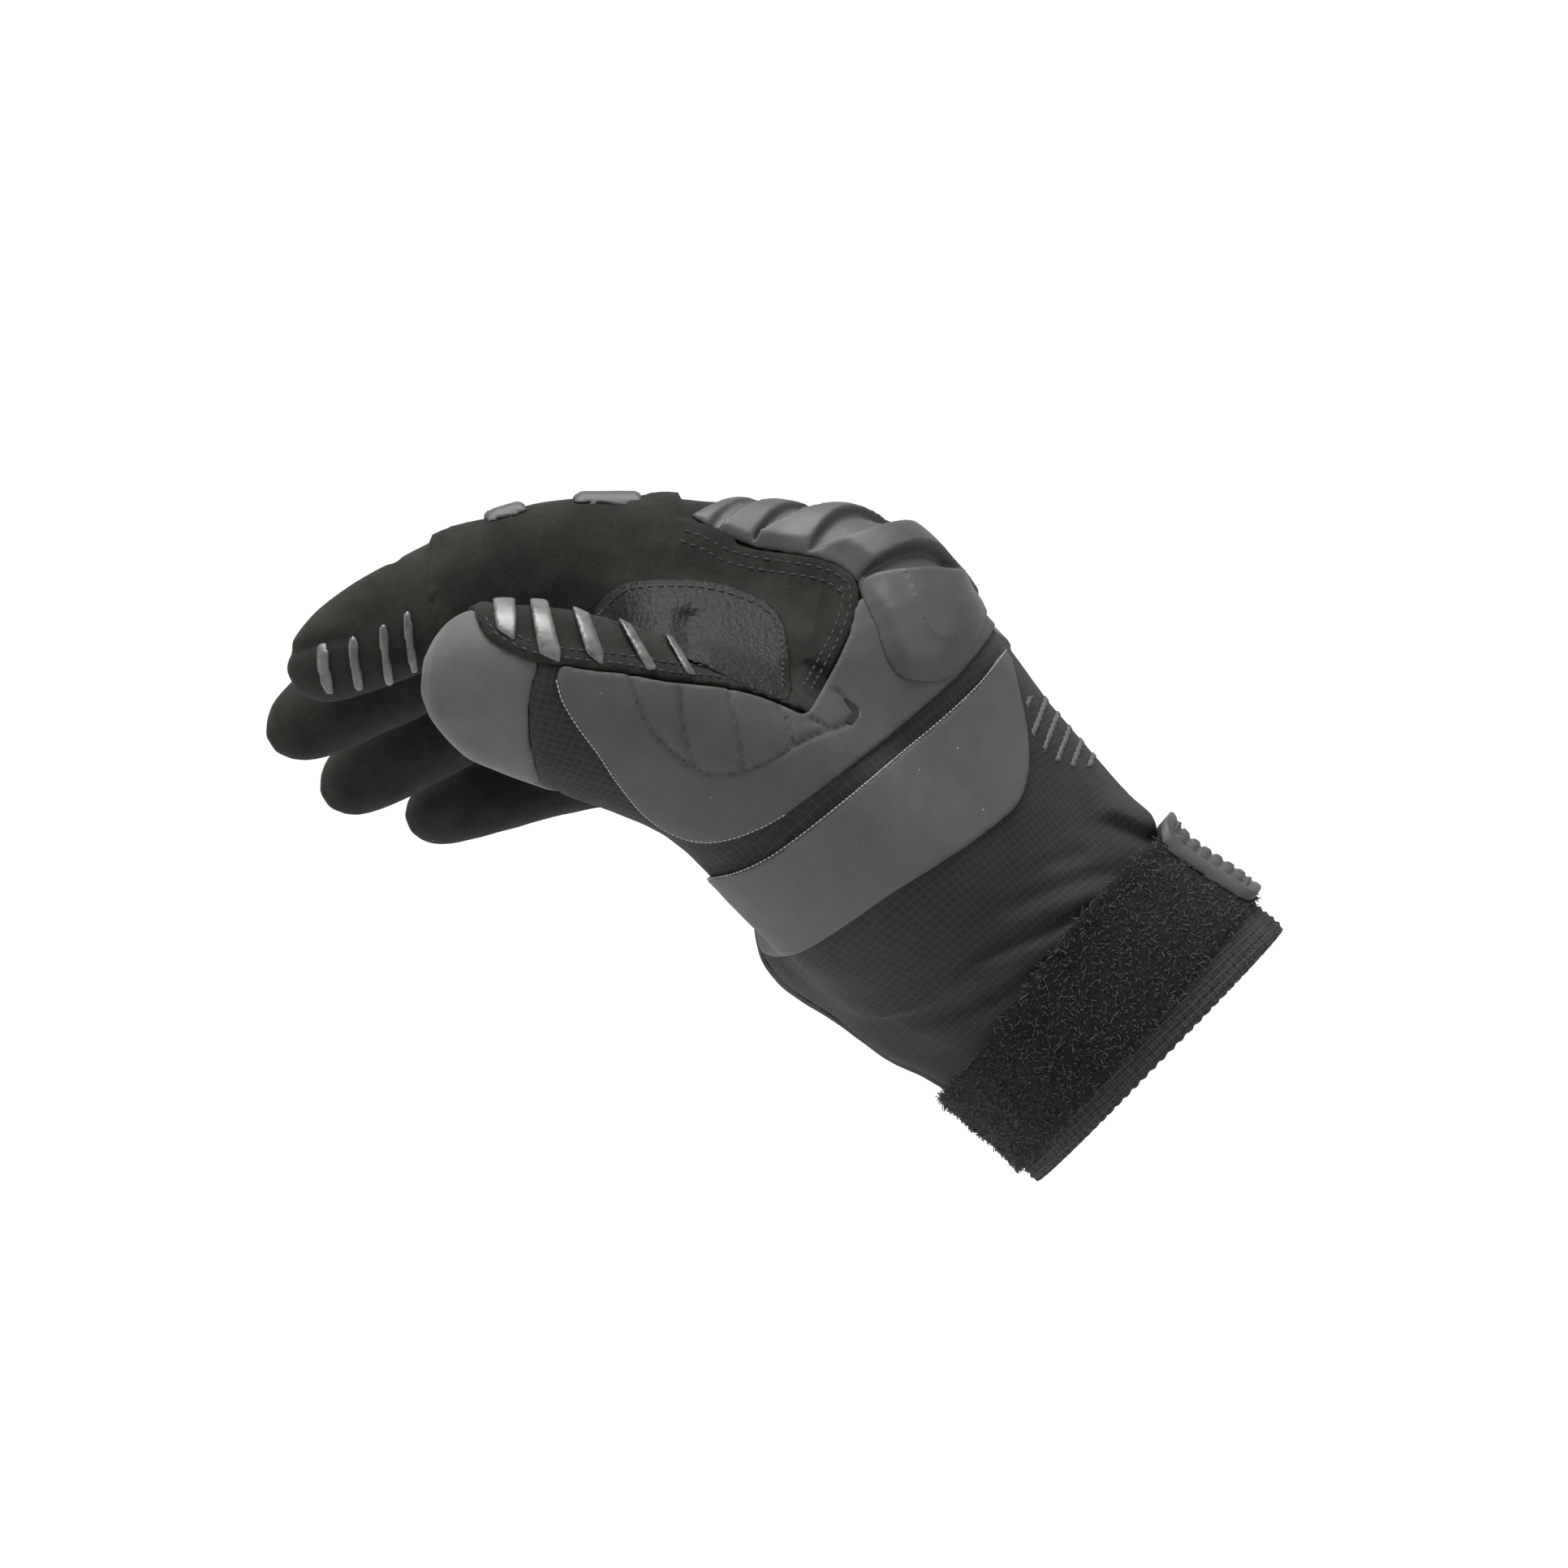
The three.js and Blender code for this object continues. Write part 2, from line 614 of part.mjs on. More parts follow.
// Knuckle guard: a web of rubber over the knuckles with ridges across it and a rounded
// lobe that comes down over the index knuckle.
function ridgeForm({ along, lift, lean, foot, crest, rise }) {
  const shape = new THREE.Shape([
    new THREE.Vector2(-foot / 2, -12),
    new THREE.Vector2(foot / 2, -12),
    new THREE.Vector2(foot / 2, 0),
    new THREE.Vector2(crest / 2, rise),
    new THREE.Vector2(crest / 2, 14),
    new THREE.Vector2(-crest / 2, 14),
    new THREE.Vector2(-crest / 2, rise),
    new THREE.Vector2(-foot / 2, 0),
  ]);
  const geometry = new THREE.ExtrudeGeometry(shape, { depth: guardWidth, steps: 1, bevelEnabled: false });
  geometry.rotateX(Math.PI / 2).rotateY(radians(lean)).translate(along * palmLength, guardWidth / 2, lift * palmThickness);
  return knuckleSheet(seamGap, seamGap + rise).intersect(solid(geometry));
}

function knuckleGuard() {
  const over = sidePrism(guardOutline, guardReach);
  const top = over.subtract(suedeCorner);
  const base = knuckleSheet(seamGap, seamGap + guardBase).intersect(top);
  const lobe = sheet(seamGap, seamGap + 5.5).intersect(sidePrism(lobeOutline, lobeReach));
  const blocks = ridges.map((ridge) => ridgeForm(ridge).intersect(top));
  return join([base, lobe, ...blocks]);
}

const lobeReach = { round: 16, far: -30 };
const guardReach = { far: -60, slant: new THREE.Vector3(0, 1, 0) };
const suedeCorner = sidePrism(
  [
    { along: 1.6, lift: -0.2 },
    { along: 1.22, lift: -0.06 },
    { along: 1.1, lift: 0.005 },
    { along: 1.03, lift: 0.065 },
    { along: 0.98, lift: 0.09 },
    { along: 0.93, lift: 0.06 },
    { along: 0.8, lift: -0.1 },
    { along: 0.8, lift: -0.6 },
    { along: 1.6, lift: -0.6 },
  ],
  { far: panelReach },
);

// Moulded plates on a finger's back.
function fingerGuard(digit, name, from, to) {
  const block = digitBlock(digit, { from, to, low: 0.45, high: 2.2, left: -0.62, right: 0.62, steps: 1, lean: -0.02 });
  const layer = digitForm(digit, seamGap + fingerGuardThickness, 0.2).subtract(digitForm(digit, seamGap, 0.1));
  return mesh(`${digit.name}_guard_${name}`, largest(layer.intersect(block)), look.rubber);
}

// Printed grip bars: thin bars of silicone lying on the suede, clear of the hand's panels.
const panelsBeside = rootForm(seamGap).add(
  rootForm(2 * seamGap + panelThickness).intersect(grownPrism(sidePanelOutline, { far: panelReach }, seamGap)),
);

function gripBar(digit, number, at, low, high, left, right, roll = 0) {
  const half = barWidth / 2 / digit.line.curve.getLength();
  const block = digitBlock(digit, { from: at - half, to: at + half, low, high, left, right, steps: 1, lean: -0.03, roll });
  const layer = digitForm(digit, seamGap + barThickness, 0.2).subtract(digitForm(digit, seamGap, 0.1));
  const bar = layer.intersect(block).subtract(panelsBeside);
  return mesh(`${digit.name}_grip_bar_${number}`, largest(bar), look.silicone);
}

function wristBand(start, end, low, high) {
  const cut = hemBox(end).subtract(hemBox(start));
  return palmForm(high, hollowMouth).subtract(palmForm(low, 2 * hollowMouth)).intersect(cut);
}

function strap() {
  return mesh("strap", wristBand(hemEdge, hemEdge + strapWidth, seamGap, seamGap + strapThickness), look.loop);
}

function cuffBinding() {
  return mesh("cuff_binding", wristBand(0, bindingWidth, -wall - 0.4, bindingRise), look.ribbed);
}

function pullTab() {
  const low = 2 * seamGap + strapThickness;
  const start = hemEdge + 1;
  const reach = new THREE.Vector3(3 * palmLength, tabLength, palmThickness * 2);
  const top = box(reach, new THREE.Vector3(0, 6, palmThickness * 1.4));
  return mesh("pull_tab", wristBand(start, start + tabWidth, low, low + tabThickness).intersect(top), look.rubber);
}

const pieces = [
  backPanel(),
  palmPanel(),
  ...digits.slice(0, 4).flatMap((digit, i) => [fingerBack(digit, i), fingerPalmSide(digit, i)]),
  thumbPalmSide(),
  thumbBack(),
  thumbCap(),
  sidePanel(),
  bandPanel(),
  saddlePatch(),
  mesh("knuckle_guard", largest(knuckleGuard()), look.rubber),
  ...digits.slice(0, 4).flatMap((digit) => [
    fingerGuard(digit, "proximal", 0.5, 0.585),
    fingerGuard(digit, "middle", 0.63, 0.675),
  ]),
  ...[0.83, 0.868, 0.908, 0.944].map((at, i) => gripBar(index, i + 1, at, -1.6, 0.2, 0.1, 1.3)),
  ...[0.66, 0.715, 0.77, 0.83, 0.88].map((at, i) => gripBar(thumb, i + 1, at, -1.6, -0.2, -0.4, 1.5, thumbSeam.roll)),
  strap(),
  pullTab(),
  cuffBinding(),
];

const group = new THREE.Group();
group.name = "mechanic_glove";
pieces.forEach((piece) => group.add(piece));
const axisTurn = (x, y, z, angle) => new THREE.Quaternion().setFromAxisAngle(new THREE.Vector3(x, y, z), radians(angle));
group.quaternion
  .copy(axisTurn(0, 0, 1, pose.yaw))
  .multiply(axisTurn(0, 1, 0, pose.pitch))
  .multiply(axisTurn(1, 0, 0, -pose.roll))
  .multiply(axisTurn(0, 0, 1, 180));

export default group;
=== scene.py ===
# Right-hand mechanic's glove, dressed over the frame's parts.
# Lengths in millimetres unless a name says otherwise; outlines are pixels of the 1932 px picture.

import math

import bpy
import bmesh
import numpy as np
import openvdb
from mathutils import Matrix, Vector


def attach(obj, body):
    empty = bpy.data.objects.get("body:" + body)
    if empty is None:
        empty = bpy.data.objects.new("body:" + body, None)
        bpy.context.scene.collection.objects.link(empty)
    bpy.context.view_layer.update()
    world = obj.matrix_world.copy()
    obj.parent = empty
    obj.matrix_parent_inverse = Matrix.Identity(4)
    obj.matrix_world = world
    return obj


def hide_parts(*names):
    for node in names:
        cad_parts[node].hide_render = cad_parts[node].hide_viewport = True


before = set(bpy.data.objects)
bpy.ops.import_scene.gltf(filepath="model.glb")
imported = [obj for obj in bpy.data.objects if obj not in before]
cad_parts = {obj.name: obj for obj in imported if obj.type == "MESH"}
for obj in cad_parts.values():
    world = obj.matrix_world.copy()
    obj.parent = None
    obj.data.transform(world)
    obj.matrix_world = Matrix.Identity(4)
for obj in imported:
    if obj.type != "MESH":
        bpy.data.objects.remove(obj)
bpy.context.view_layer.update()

# How the worn hand stands, and where the camera is
stand = {"pitch": 48.9, "roll": 16.1, "yaw": -8.5}
view = {"place": (-72.717, -829.602, 52.575), "focal": 98.39, "sensor": 36.0, "picture": 1932}
pixelsPerTangent = view["focal"] / view["sensor"] * view["picture"]
pixelsPerMm = pixelsPerTangent / -view["place"][1]

worn = (
    Matrix.Rotation(math.radians(stand["yaw"]), 3, "Z")
    @ Matrix.Rotation(math.radians(stand["pitch"]), 3, "Y")
    @ Matrix.Rotation(math.radians(-stand["roll"]), 3, "X")
    @ Matrix.Rotation(math.pi, 3, "Z")
)
turn = np.array(worn)  # columns: along the fingers, towards the thumb side, towards the back

hand = {
    "length": 106.0,
    "width": 92.0,
    "thickness": 36.0,
    "wall": 1.7,
    "hemSlant": 0.09,
    "archDrop": 7.0,
    "blendPalm": 7.0,
    "blendWeb": 9.0,
}

# at, lift, wide, thick, square: shares of length, thickness, width, thickness, and roundness
palmRows = np.array([
    (-0.14, 0.02, 0.79, 1.83, 2.1),
    (0.0, 0.0, 0.79, 1.83, 2.1),
    (0.09, -0.02, 0.78, 1.8, 2.1),
    (0.25, -0.12, 0.75, 1.78, 2.15),
    (0.32, -0.165, 0.78, 1.9, 2.15),
    (0.41, -0.205, 0.78, 1.97, 2.2),
    (0.6, -0.255, 0.87, 2.06, 2.3),
    (0.74, -0.105, 0.93, 1.77, 2.4),
    (0.9, 0.1, 0.96, 1.28, 2.5),
    (1.0, 0.19, 0.93, 1.02, 2.5),
    (1.07, 0.17, 0.84, 0.76, 2.3),
])

fingers = {
    "index": {"knuckle": (1.0, 0.335, 0.12), "bones": (50, 31, 25.5), "width": 19.6, "thickness": 26.2,
              "bends": (44, 24, 12), "spread": 1.5},
    "middle": {"knuckle": (1.01, 0.105, 0.13), "bones": (54, 34, 25), "width": 19.2, "thickness": 24.5,
               "bends": (48, 27, 7), "spread": 0.3},
    "ring": {"knuckle": (0.955, -0.125, 0.06), "bones": (50, 31, 26), "width": 18.8, "thickness": 23.5,
             "bends": (46, 34, 4), "spread": -1},
    "little": {"knuckle": (0.87, -0.345, -0.12), "bones": (40, 24, 22), "width": 18.4, "thickness": 21.5,
               "bends": (53, 12, 7), "spread": -2},
}
fingerRows = np.array([
    (0.0, 0.9, 0.9), (0.14, 1.0, 1.04), (0.36, 1.0, 1.0), (0.55, 1.0, 0.98), (0.68, 0.98, 0.9),
    (0.8, 0.96, 0.83), (0.89, 0.92, 0.74), (0.945, 0.8, 0.62), (0.98, 0.58, 0.44), (1.0, 0.2, 0.16),
])

thumb = {"heel": (0.44, 0.2, -0.66), "length": 112.0, "width": 34.0, "thickness": 29.0,
         "nail": (-0.58, 0.72, -0.375)}
thumbLine = np.array([
    (0.0, 0.0, 0.0), (0.18, 0.15, -0.04), (0.4, 0.31, -0.105),
    (0.595, 0.42, -0.23), (0.735, 0.45, -0.34), (0.805, 0.455, -0.41),
])
thumbRows = np.array([
    (0.0, 1.08, 1.1), (0.15, 1.16, 1.24), (0.34, 1.1, 1.14), (0.56, 1.0, 0.98), (0.75, 0.98, 0.93),
    (0.86, 0.92, 0.86), (0.935, 0.78, 0.72), (0.98, 0.5, 0.48), (1.0, 0.2, 0.18),
])
base = {"finger": 0.33, "thumb": 0.42}


# Smooth values through a table's rows
def tableValues(rows, places):
    x, y = rows[:, 0], rows[:, 1:]
    slopes = np.zeros_like(y)
    slopes[1:-1] = (y[2:] - y[:-2]) / (x[2:] - x[:-2])[:, None]
    slopes[0] = (y[1] - y[0]) / (x[1] - x[0])
    slopes[-1] = (y[-1] - y[-2]) / (x[-1] - x[-2])
    k = np.clip(np.searchsorted(x, places, "right") - 1, 0, len(x) - 2)
    span = (x[k + 1] - x[k])[:, None]
    t = (places - x[k])[:, None] / span
    return (
        (2 * t**3 - 3 * t**2 + 1) * y[k]
        + (t**3 - 2 * t**2 + t) * span * slopes[k]
        + (3 * t**2 - 2 * t**3) * y[k + 1]
        + (t**3 - t**2) * span * slopes[k + 1]
    )


# A curve through points, read at shares of its length: places and tangents
def centreLine(points, shares):
    points = np.asarray(points, float)
    knots = np.concatenate([[0], np.cumsum(np.linalg.norm(np.diff(points, axis=0), axis=1) ** 0.5)])
    rows = np.column_stack([knots, points])
    dense = tableValues(rows, np.linspace(0, knots[-1], 400))
    run = np.concatenate([[0], np.cumsum(np.linalg.norm(np.diff(dense, axis=0), axis=1))])
    wanted = np.asarray(shares) * run[-1]
    places = np.column_stack([np.interp(wanted, run, dense[:, i]) for i in range(3)])
    step = np.gradient(dense, run, axis=0)
    tangents = np.column_stack([np.interp(wanted, run, step[:, i]) for i in range(3)])
    return places, tangents / np.linalg.norm(tangents, axis=1)[:, None]


def digitPoints(name):
    if name == "thumb":
        heel = np.array(thumb["heel"]) * (hand["length"], hand["width"], hand["thickness"])
        return heel + thumbLine * thumb["length"]
    finger = fingers[name]
    lean = math.radians(finger["spread"])
    forward = np.array((math.cos(lean), math.sin(lean), 0))
    place = np.array(finger["knuckle"]) * (hand["length"], hand["width"], hand["thickness"])
    points = [place - forward * finger["thickness"], place]
    bend = 0
    for bone, more in zip(finger["bones"], finger["bends"]):
        bend += math.radians(more)
        place = place + forward * bone * math.cos(bend) - np.array((0, 0, bone * math.sin(bend)))
        points.append(place)
    return points


# Centre, forward, side and up of a digit at shares of its length
def digitFrames(name, shares):
    centre, forward = centreLine(digitPoints(name), shares)
    if name == "thumb":
        side = np.cross(thumb["nail"], forward)
        side /= np.linalg.norm(side, axis=1)[:, None]
    else:
        lean = math.radians(fingers[name]["spread"])
        side = np.tile((-math.sin(lean), math.cos(lean), 0), (len(centre), 1))
    up = np.cross(forward, side)
    return centre, forward, side, up / np.linalg.norm(up, axis=1)[:, None]


def ringPoints(centre, side, up, square, sides):
    angle = np.linspace(0, 2 * np.pi, sides, endpoint=False)
    c, s = np.cos(angle), np.sin(angle)
    power = 2 / square
    c = np.sign(c) * np.abs(c) ** power
    s = np.sign(s) * np.abs(s) ** power
    return centre[:, None] + c[None, :, None] * side[:, None] + s[None, :, None] * up[:, None]


# A closed skin through rings, as points and triangles
def loftSkin(rings):
    count, sides = rings.shape[:2]
    points = np.concatenate([rings.reshape(-1, 3), rings[0].mean(0)[None], rings[-1].mean(0)[None]])
    i, j = np.meshgrid(np.arange(count - 1), np.arange(sides), indexing="ij")
    a, b = i * sides + j, i * sides + (j + 1) % sides
    c, d = a + sides, b + sides
    j = np.arange(sides)
    k = (j + 1) % sides
    first, last = count * sides, count * sides + 1
    ends = (count - 1) * sides
    faces = np.concatenate([
        np.stack([a, b, c], -1).reshape(-1, 3),
        np.stack([b, d, c], -1).reshape(-1, 3),
        np.stack([np.full(sides, first), k, j], -1),
        np.stack([np.full(sides, last), ends + j, ends + k], -1),
    ])
    return points, faces


def digitSkin(name):
    shares = np.linspace(0, 1, 70)
    centre, _, side, up = digitFrames(name, shares)
    size = thumb if name == "thumb" else fingers[name]
    wide, thick = tableValues(thumbRows if name == "thumb" else fingerRows, shares).T
    side = side * (wide * size["width"] / 2)[:, None]
    up = up * (thick * size["thickness"] / 2)[:, None]
    return loftSkin(ringPoints(centre, side, up, 2.15, 48))


def smoothStep(low, high, value):
    t = np.clip((value - low) / (high - low), 0, 1)
    return t * t * (3 - 2 * t)


def palmSkin():
    shares = np.linspace(palmRows[0, 0], palmRows[-1, 0], 60)
    lift, wide, thick, square = tableValues(palmRows, shares).T
    rings = []
    for at, l, w, t, q in zip(shares, lift, wide, thick, square):
        centre = np.array([(at * hand["length"], 0, l * hand["thickness"])])
        side = np.array([(0, w * hand["width"] / 2, 0)])
        up = np.array([(0, 0, t * hand["thickness"] / 2)])
        rings.append(ringPoints(centre, side, up, q, 72)[0])
    rings = np.array(rings)
    share = rings[..., 0] / hand["length"]
    inward = np.minimum(0, rings[..., 1] / hand["width"] - fingers["middle"]["knuckle"][1])
    rings[..., 0] += hand["hemSlant"] * rings[..., 2] * (1 - smoothStep(0.1, 0.4, share))
    rings[..., 2] -= hand["archDrop"] * 4 * inward**2 * smoothStep(0.4, 1, share)
    return loftSkin(rings)


# The fold of suede between thumb and index finger, and the thick heel of the thumb
def webSkin():
    thumbPlaces = digitFrames("thumb", [0.2, 0.58])[0]
    indexPlaces = digitFrames("index", [0.44, 0.1])[0]
    heel = np.array((0.5 * hand["length"], 0.2 * hand["width"], -0.25 * hand["thickness"]))
    balls = [
        (thumbPlaces[0], thumb["thickness"] * 0.46),
        (thumbPlaces[1], thumb["thickness"] * 0.3),
        (indexPlaces[0], fingers["index"]["thickness"] * 0.34),
        (indexPlaces[1], fingers["index"]["thickness"] * 0.42),
        (heel, 0.45 * hand["thickness"]),
    ]
    shape = bmesh.new()
    for centre, radius in balls:
        bmesh.ops.create_icosphere(shape, subdivisions=3, radius=radius, matrix=Matrix.Translation(centre))
    hull = bmesh.ops.convex_hull(shape, input=shape.verts)
    loose = [v for v in hull["geom_interior"] if isinstance(v, bmesh.types.BMVert)]
    bmesh.ops.delete(shape, geom=loose, context="VERTS")
    bmesh.ops.triangulate(shape, faces=shape.faces)
    shape.verts.index_update()
    points = np.array([v.co[:] for v in shape.verts])
    faces = np.array([[v.index for v in f.verts] for f in shape.faces])
    shape.free()
    return points, faces


skins = {"palm": palmSkin(), "web": webSkin()}
for name in [*fingers, "thumb"]:
    skins[name] = digitSkin(name)
print("skins made")

# Distance fields: every piece is cut from the distance to the hand's form on a grid
gridReach = 9.0
outsideField = 4.0
farOutside = -5.0
innerSkin = 0.55  # a shell's faces nearer than this to its inner side are left out
levelSets = {}


def gridBox(low, high, step):
    start = np.floor(np.asarray(low) / step).astype(int)
    count = np.ceil(np.asarray(high) / step).astype(int) - start + 1
    return {"start": start, "count": count, "step": step}


def partDistance(name, box):
    key = (name, box["step"])
    if key not in levelSets:
        points, faces = skins[name]
        turned = points @ turn.T
        levelSets[key] = openvdb.FloatGrid.createLevelSetFromPolygons(
            turned.astype(np.float32),
            triangles=faces.astype(np.uint32),
            transform=openvdb.createLinearTransform(voxelSize=box["step"]),
            halfWidth=gridReach / box["step"],
        )
    values = np.empty(box["count"], np.float32)
    levelSets[key].copyToArray(values, ijk=tuple(int(i) for i in box["start"]))
    return values


# Smooth union; it fades out towards the edge of the known distances
def blend(a, b, reach):
    near = np.maximum(reach - np.abs(a - b), 0) * np.clip((gridReach - np.maximum(a, b)) / 3, 0, 1)
    return np.minimum(a, b) - near * near / (4 * reach)


def handDistance(box):
    palm = blend(partDistance("palm", box), partDistance("web", box), hand["blendWeb"])
    near = partDistance("index", box)
    for name in ("middle", "ring", "little"):
        near = np.minimum(near, partDistance(name, box))
    palm = blend(palm, near, hand["blendPalm"])
    return blend(palm, partDistance("thumb", box), hand["blendPalm"])


# The surface of a field that is known at an area's points, as points and quads
def surfaceMesh(area, field):
    box = area["box"]
    values = np.full(area["near"].shape, outsideField, np.float32)
    values[area["near"]] = np.minimum(field, outsideField)
    grid = openvdb.FloatGrid()
    grid.background = outsideField
    grid.transform = openvdb.createLinearTransform(voxelSize=box["step"])
    grid.copyFromArray(values, ijk=tuple(int(i) for i in box["start"]))
    return grid.convertToQuads(0.0)


# The grid cells nearest to places in mm
def nearestCells(area, places):
    cells = np.rint(places / area["box"]["step"]).astype(int) - area["box"]["start"]
    return tuple(np.clip(cells, 0, np.array(area["whole"].shape) - 1).T)


# What a grid's points near the skin are: places, hand coordinates, picture pixels, distance
def surround(box, whole, span):
    near = (whole > span[0]) & (whole < span[1])
    places = (np.argwhere(near) + box["start"]) * box["step"]
    return {"box": box, "near": near, "whole": whole, "skin": whole[near], **positions(places)}


# How far a place is from the thumb, less its height over the skin
def fromThumb(area):
    thumbWhole = refine(cloth["box"], cloth["thumb"], area["box"])[area["near"]]
    return thumbWhole - area["skin"]


# A finer grid over a part of a known one, through smooth curves along each axis
def refine(box, values, fineBox):
    for axis in range(3):
        cells = (np.arange(fineBox["count"][axis]) + fineBox["start"][axis]) * fineBox["step"] / box["step"]
        cells -= box["start"][axis]
        low = np.floor(cells).astype(int)
        t = (cells - low).astype(np.float32)
        weights = (-t + 2 * t**2 - t**3, 2 - 5 * t**2 + 3 * t**3, t + 4 * t**2 - 3 * t**3, t**3 - t**2)
        shape = [1, 1, 1]
        shape[axis] = len(cells)
        last = values.shape[axis] - 1
        values = sum(np.take(values, np.clip(low + i - 1, 0, last), axis) * (weight / 2).reshape(shape)
                     for i, weight in enumerate(weights))
    return values


def positions(places):
    depth = places[:, 1] - view["place"][1]
    middle = view["picture"] / 2
    across = middle + pixelsPerTangent * (places[:, 0] - view["place"][0]) / depth
    down = middle - pixelsPerTangent * (places[:, 2] - view["place"][2]) / depth
    return {"place": places, "hand": places @ turn, "pixel": np.column_stack([across, down])}


# Distance to a closed outline, in mm, positive inside; it is known up to 5 mm outside
def insideOutline(outline, points, scale=pixelsPerMm):
    outline = np.asarray(outline, float)
    low, high = outline.min(0) + farOutside * scale, outline.max(0) - farOutside * scale
    chosen = np.all((points > low) & (points < high), axis=1)
    p = points[chosen]
    nearest = np.full(len(p), 1e9)
    inside = np.zeros(len(p), bool)
    for a, b in zip(outline, np.roll(outline, -1, axis=0)):
        along = b - a
        share = np.clip(((p - a) @ along) / (along @ along), 0, 1)
        nearest = np.minimum(nearest, np.hypot(*(p - a - share[:, None] * along).T))
        crosses = (a[1] > p[:, 1]) != (b[1] > p[:, 1])
        reachX = a[0] + (p[:, 1] - a[1]) / (along[1] if along[1] else 1e-9) * along[0]
        inside ^= crosses & (p[:, 0] < reachX)
    result = np.full(len(points), farOutside)
    result[chosen] = np.where(inside, nearest, -nearest) / scale
    return result


# Distance to an open line, in mm, known up to a reach in pixels
def fromLine(line, points, reach=60, scale=pixelsPerMm):
    line = np.asarray(line, float)
    chosen = np.all((points > line.min(0) - reach) & (points < line.max(0) + reach), axis=1)
    p = points[chosen]
    nearest = np.full(len(p), float(reach))
    for a, b in zip(line[:-1], line[1:]):
        along = b - a
        share = np.clip(((p - a) @ along) / (along @ along), 0, 1)
        nearest = np.minimum(nearest, np.hypot(*(p - a - share[:, None] * along).T))
    result = np.full(len(points), reach / scale)
    result[chosen] = nearest / scale
    return result


def smoothLine(points, closed=False, steps=6):
    points = np.asarray(points, float)
    around = np.concatenate([points[-2:], points, points[:2]]) if closed else points
    knots = np.concatenate([[0], np.cumsum(np.linalg.norm(np.diff(around, axis=0), axis=1) ** 0.5)])
    rows = np.column_stack([knots, around])
    if not closed:
        return tableValues(rows, np.linspace(0, knots[-1], steps * (len(points) - 1) + 1))
    stops = knots[2:2 + len(points) + 1]
    fine = np.concatenate([np.linspace(a, b, steps, endpoint=False) for a, b in zip(stops[:-1], stops[1:])])
    return tableValues(rows, fine)


# A digit's own coordinates of places in the hand: share along it, side and up in mm
def digitPlaces(name, places, gaps=40):
    centre, forward, side, up = digitFrames(name, np.linspace(0, 1, gaps + 1))
    far = (centre**2).sum(1)[None] - 2 * places @ centre.T
    k = far.argmin(1)
    gap = np.linalg.norm(np.diff(centre, axis=0), axis=1).mean()
    run = ((places - centre[k]) * forward[k]).sum(1) / gap
    beside = np.clip(k + np.where(run > 0, 1, -1), 0, gaps)
    share = np.where(beside == k, 0, np.minimum(np.abs(run), 1))[:, None]
    centre, side, up = (rows[k] * (1 - share) + rows[beside] * share for rows in (centre, side, up))
    offset = places - centre
    return np.column_stack([(k + run) / gaps, (offset * side).sum(1), (offset * up).sum(1)])


def smoothMax(values, reach):
    result = values[0]
    for value in values[1:]:
        result = -blend(-result, -value, reach)
    return result


# One piece: what lies between two heights over the skin, inside its region
def cutPiece(name, area, low, high, inside, rounding=0.3, keepInner=None):
    skin = area["skin"]
    field = smoothMax([skin - high, -inside], rounding)
    field = np.maximum(field, low - skin)
    points, quads = surfaceMesh(area, field)
    if keepInner is not None:
        depth = area["whole"][nearestCells(area, points)]
        kept = keepInner(points @ turn) | (depth > low + innerSkin)
        quads = quads[kept[quads].any(1)]
        used = np.unique(quads)
        renumber = np.full(len(points), -1)
        renumber[used] = np.arange(len(used))
        points, quads = points[used], renumber[quads]
    return meshObject(name, points, quads)


def meshObject(name, points, faces):
    mesh = bpy.data.meshes.new(name)
    mesh.vertices.add(len(points))
    mesh.vertices.foreach_set("co", (np.asarray(points, np.float32) / 1000).ravel())
    sides = faces.shape[1]
    mesh.loops.add(faces.size)
    mesh.loops.foreach_set("vertex_index", np.ascontiguousarray(faces[:, ::-1], dtype=np.int32).ravel())
    mesh.polygons.add(len(faces))
    mesh.polygons.foreach_set("loop_start", np.arange(0, faces.size, sides, dtype=np.int32))
    mesh.polygons.foreach_set("use_smooth", np.ones(len(faces), bool))
    mesh.update()
    mesh.validate()
    obj = bpy.data.objects.new(name, mesh)
    bpy.context.collection.objects.link(obj)
    return obj


# A mesh's points in mm, and the point at each corner of its faces
def readMesh(obj):
    points = np.empty(len(obj.data.vertices) * 3, np.float32)
    obj.data.vertices.foreach_get("co", points)
    corners = np.empty(len(obj.data.loops), np.int32)
    obj.data.loops.foreach_get("vertex_index", corners)
    return points.reshape(-1, 3) * 1000, corners


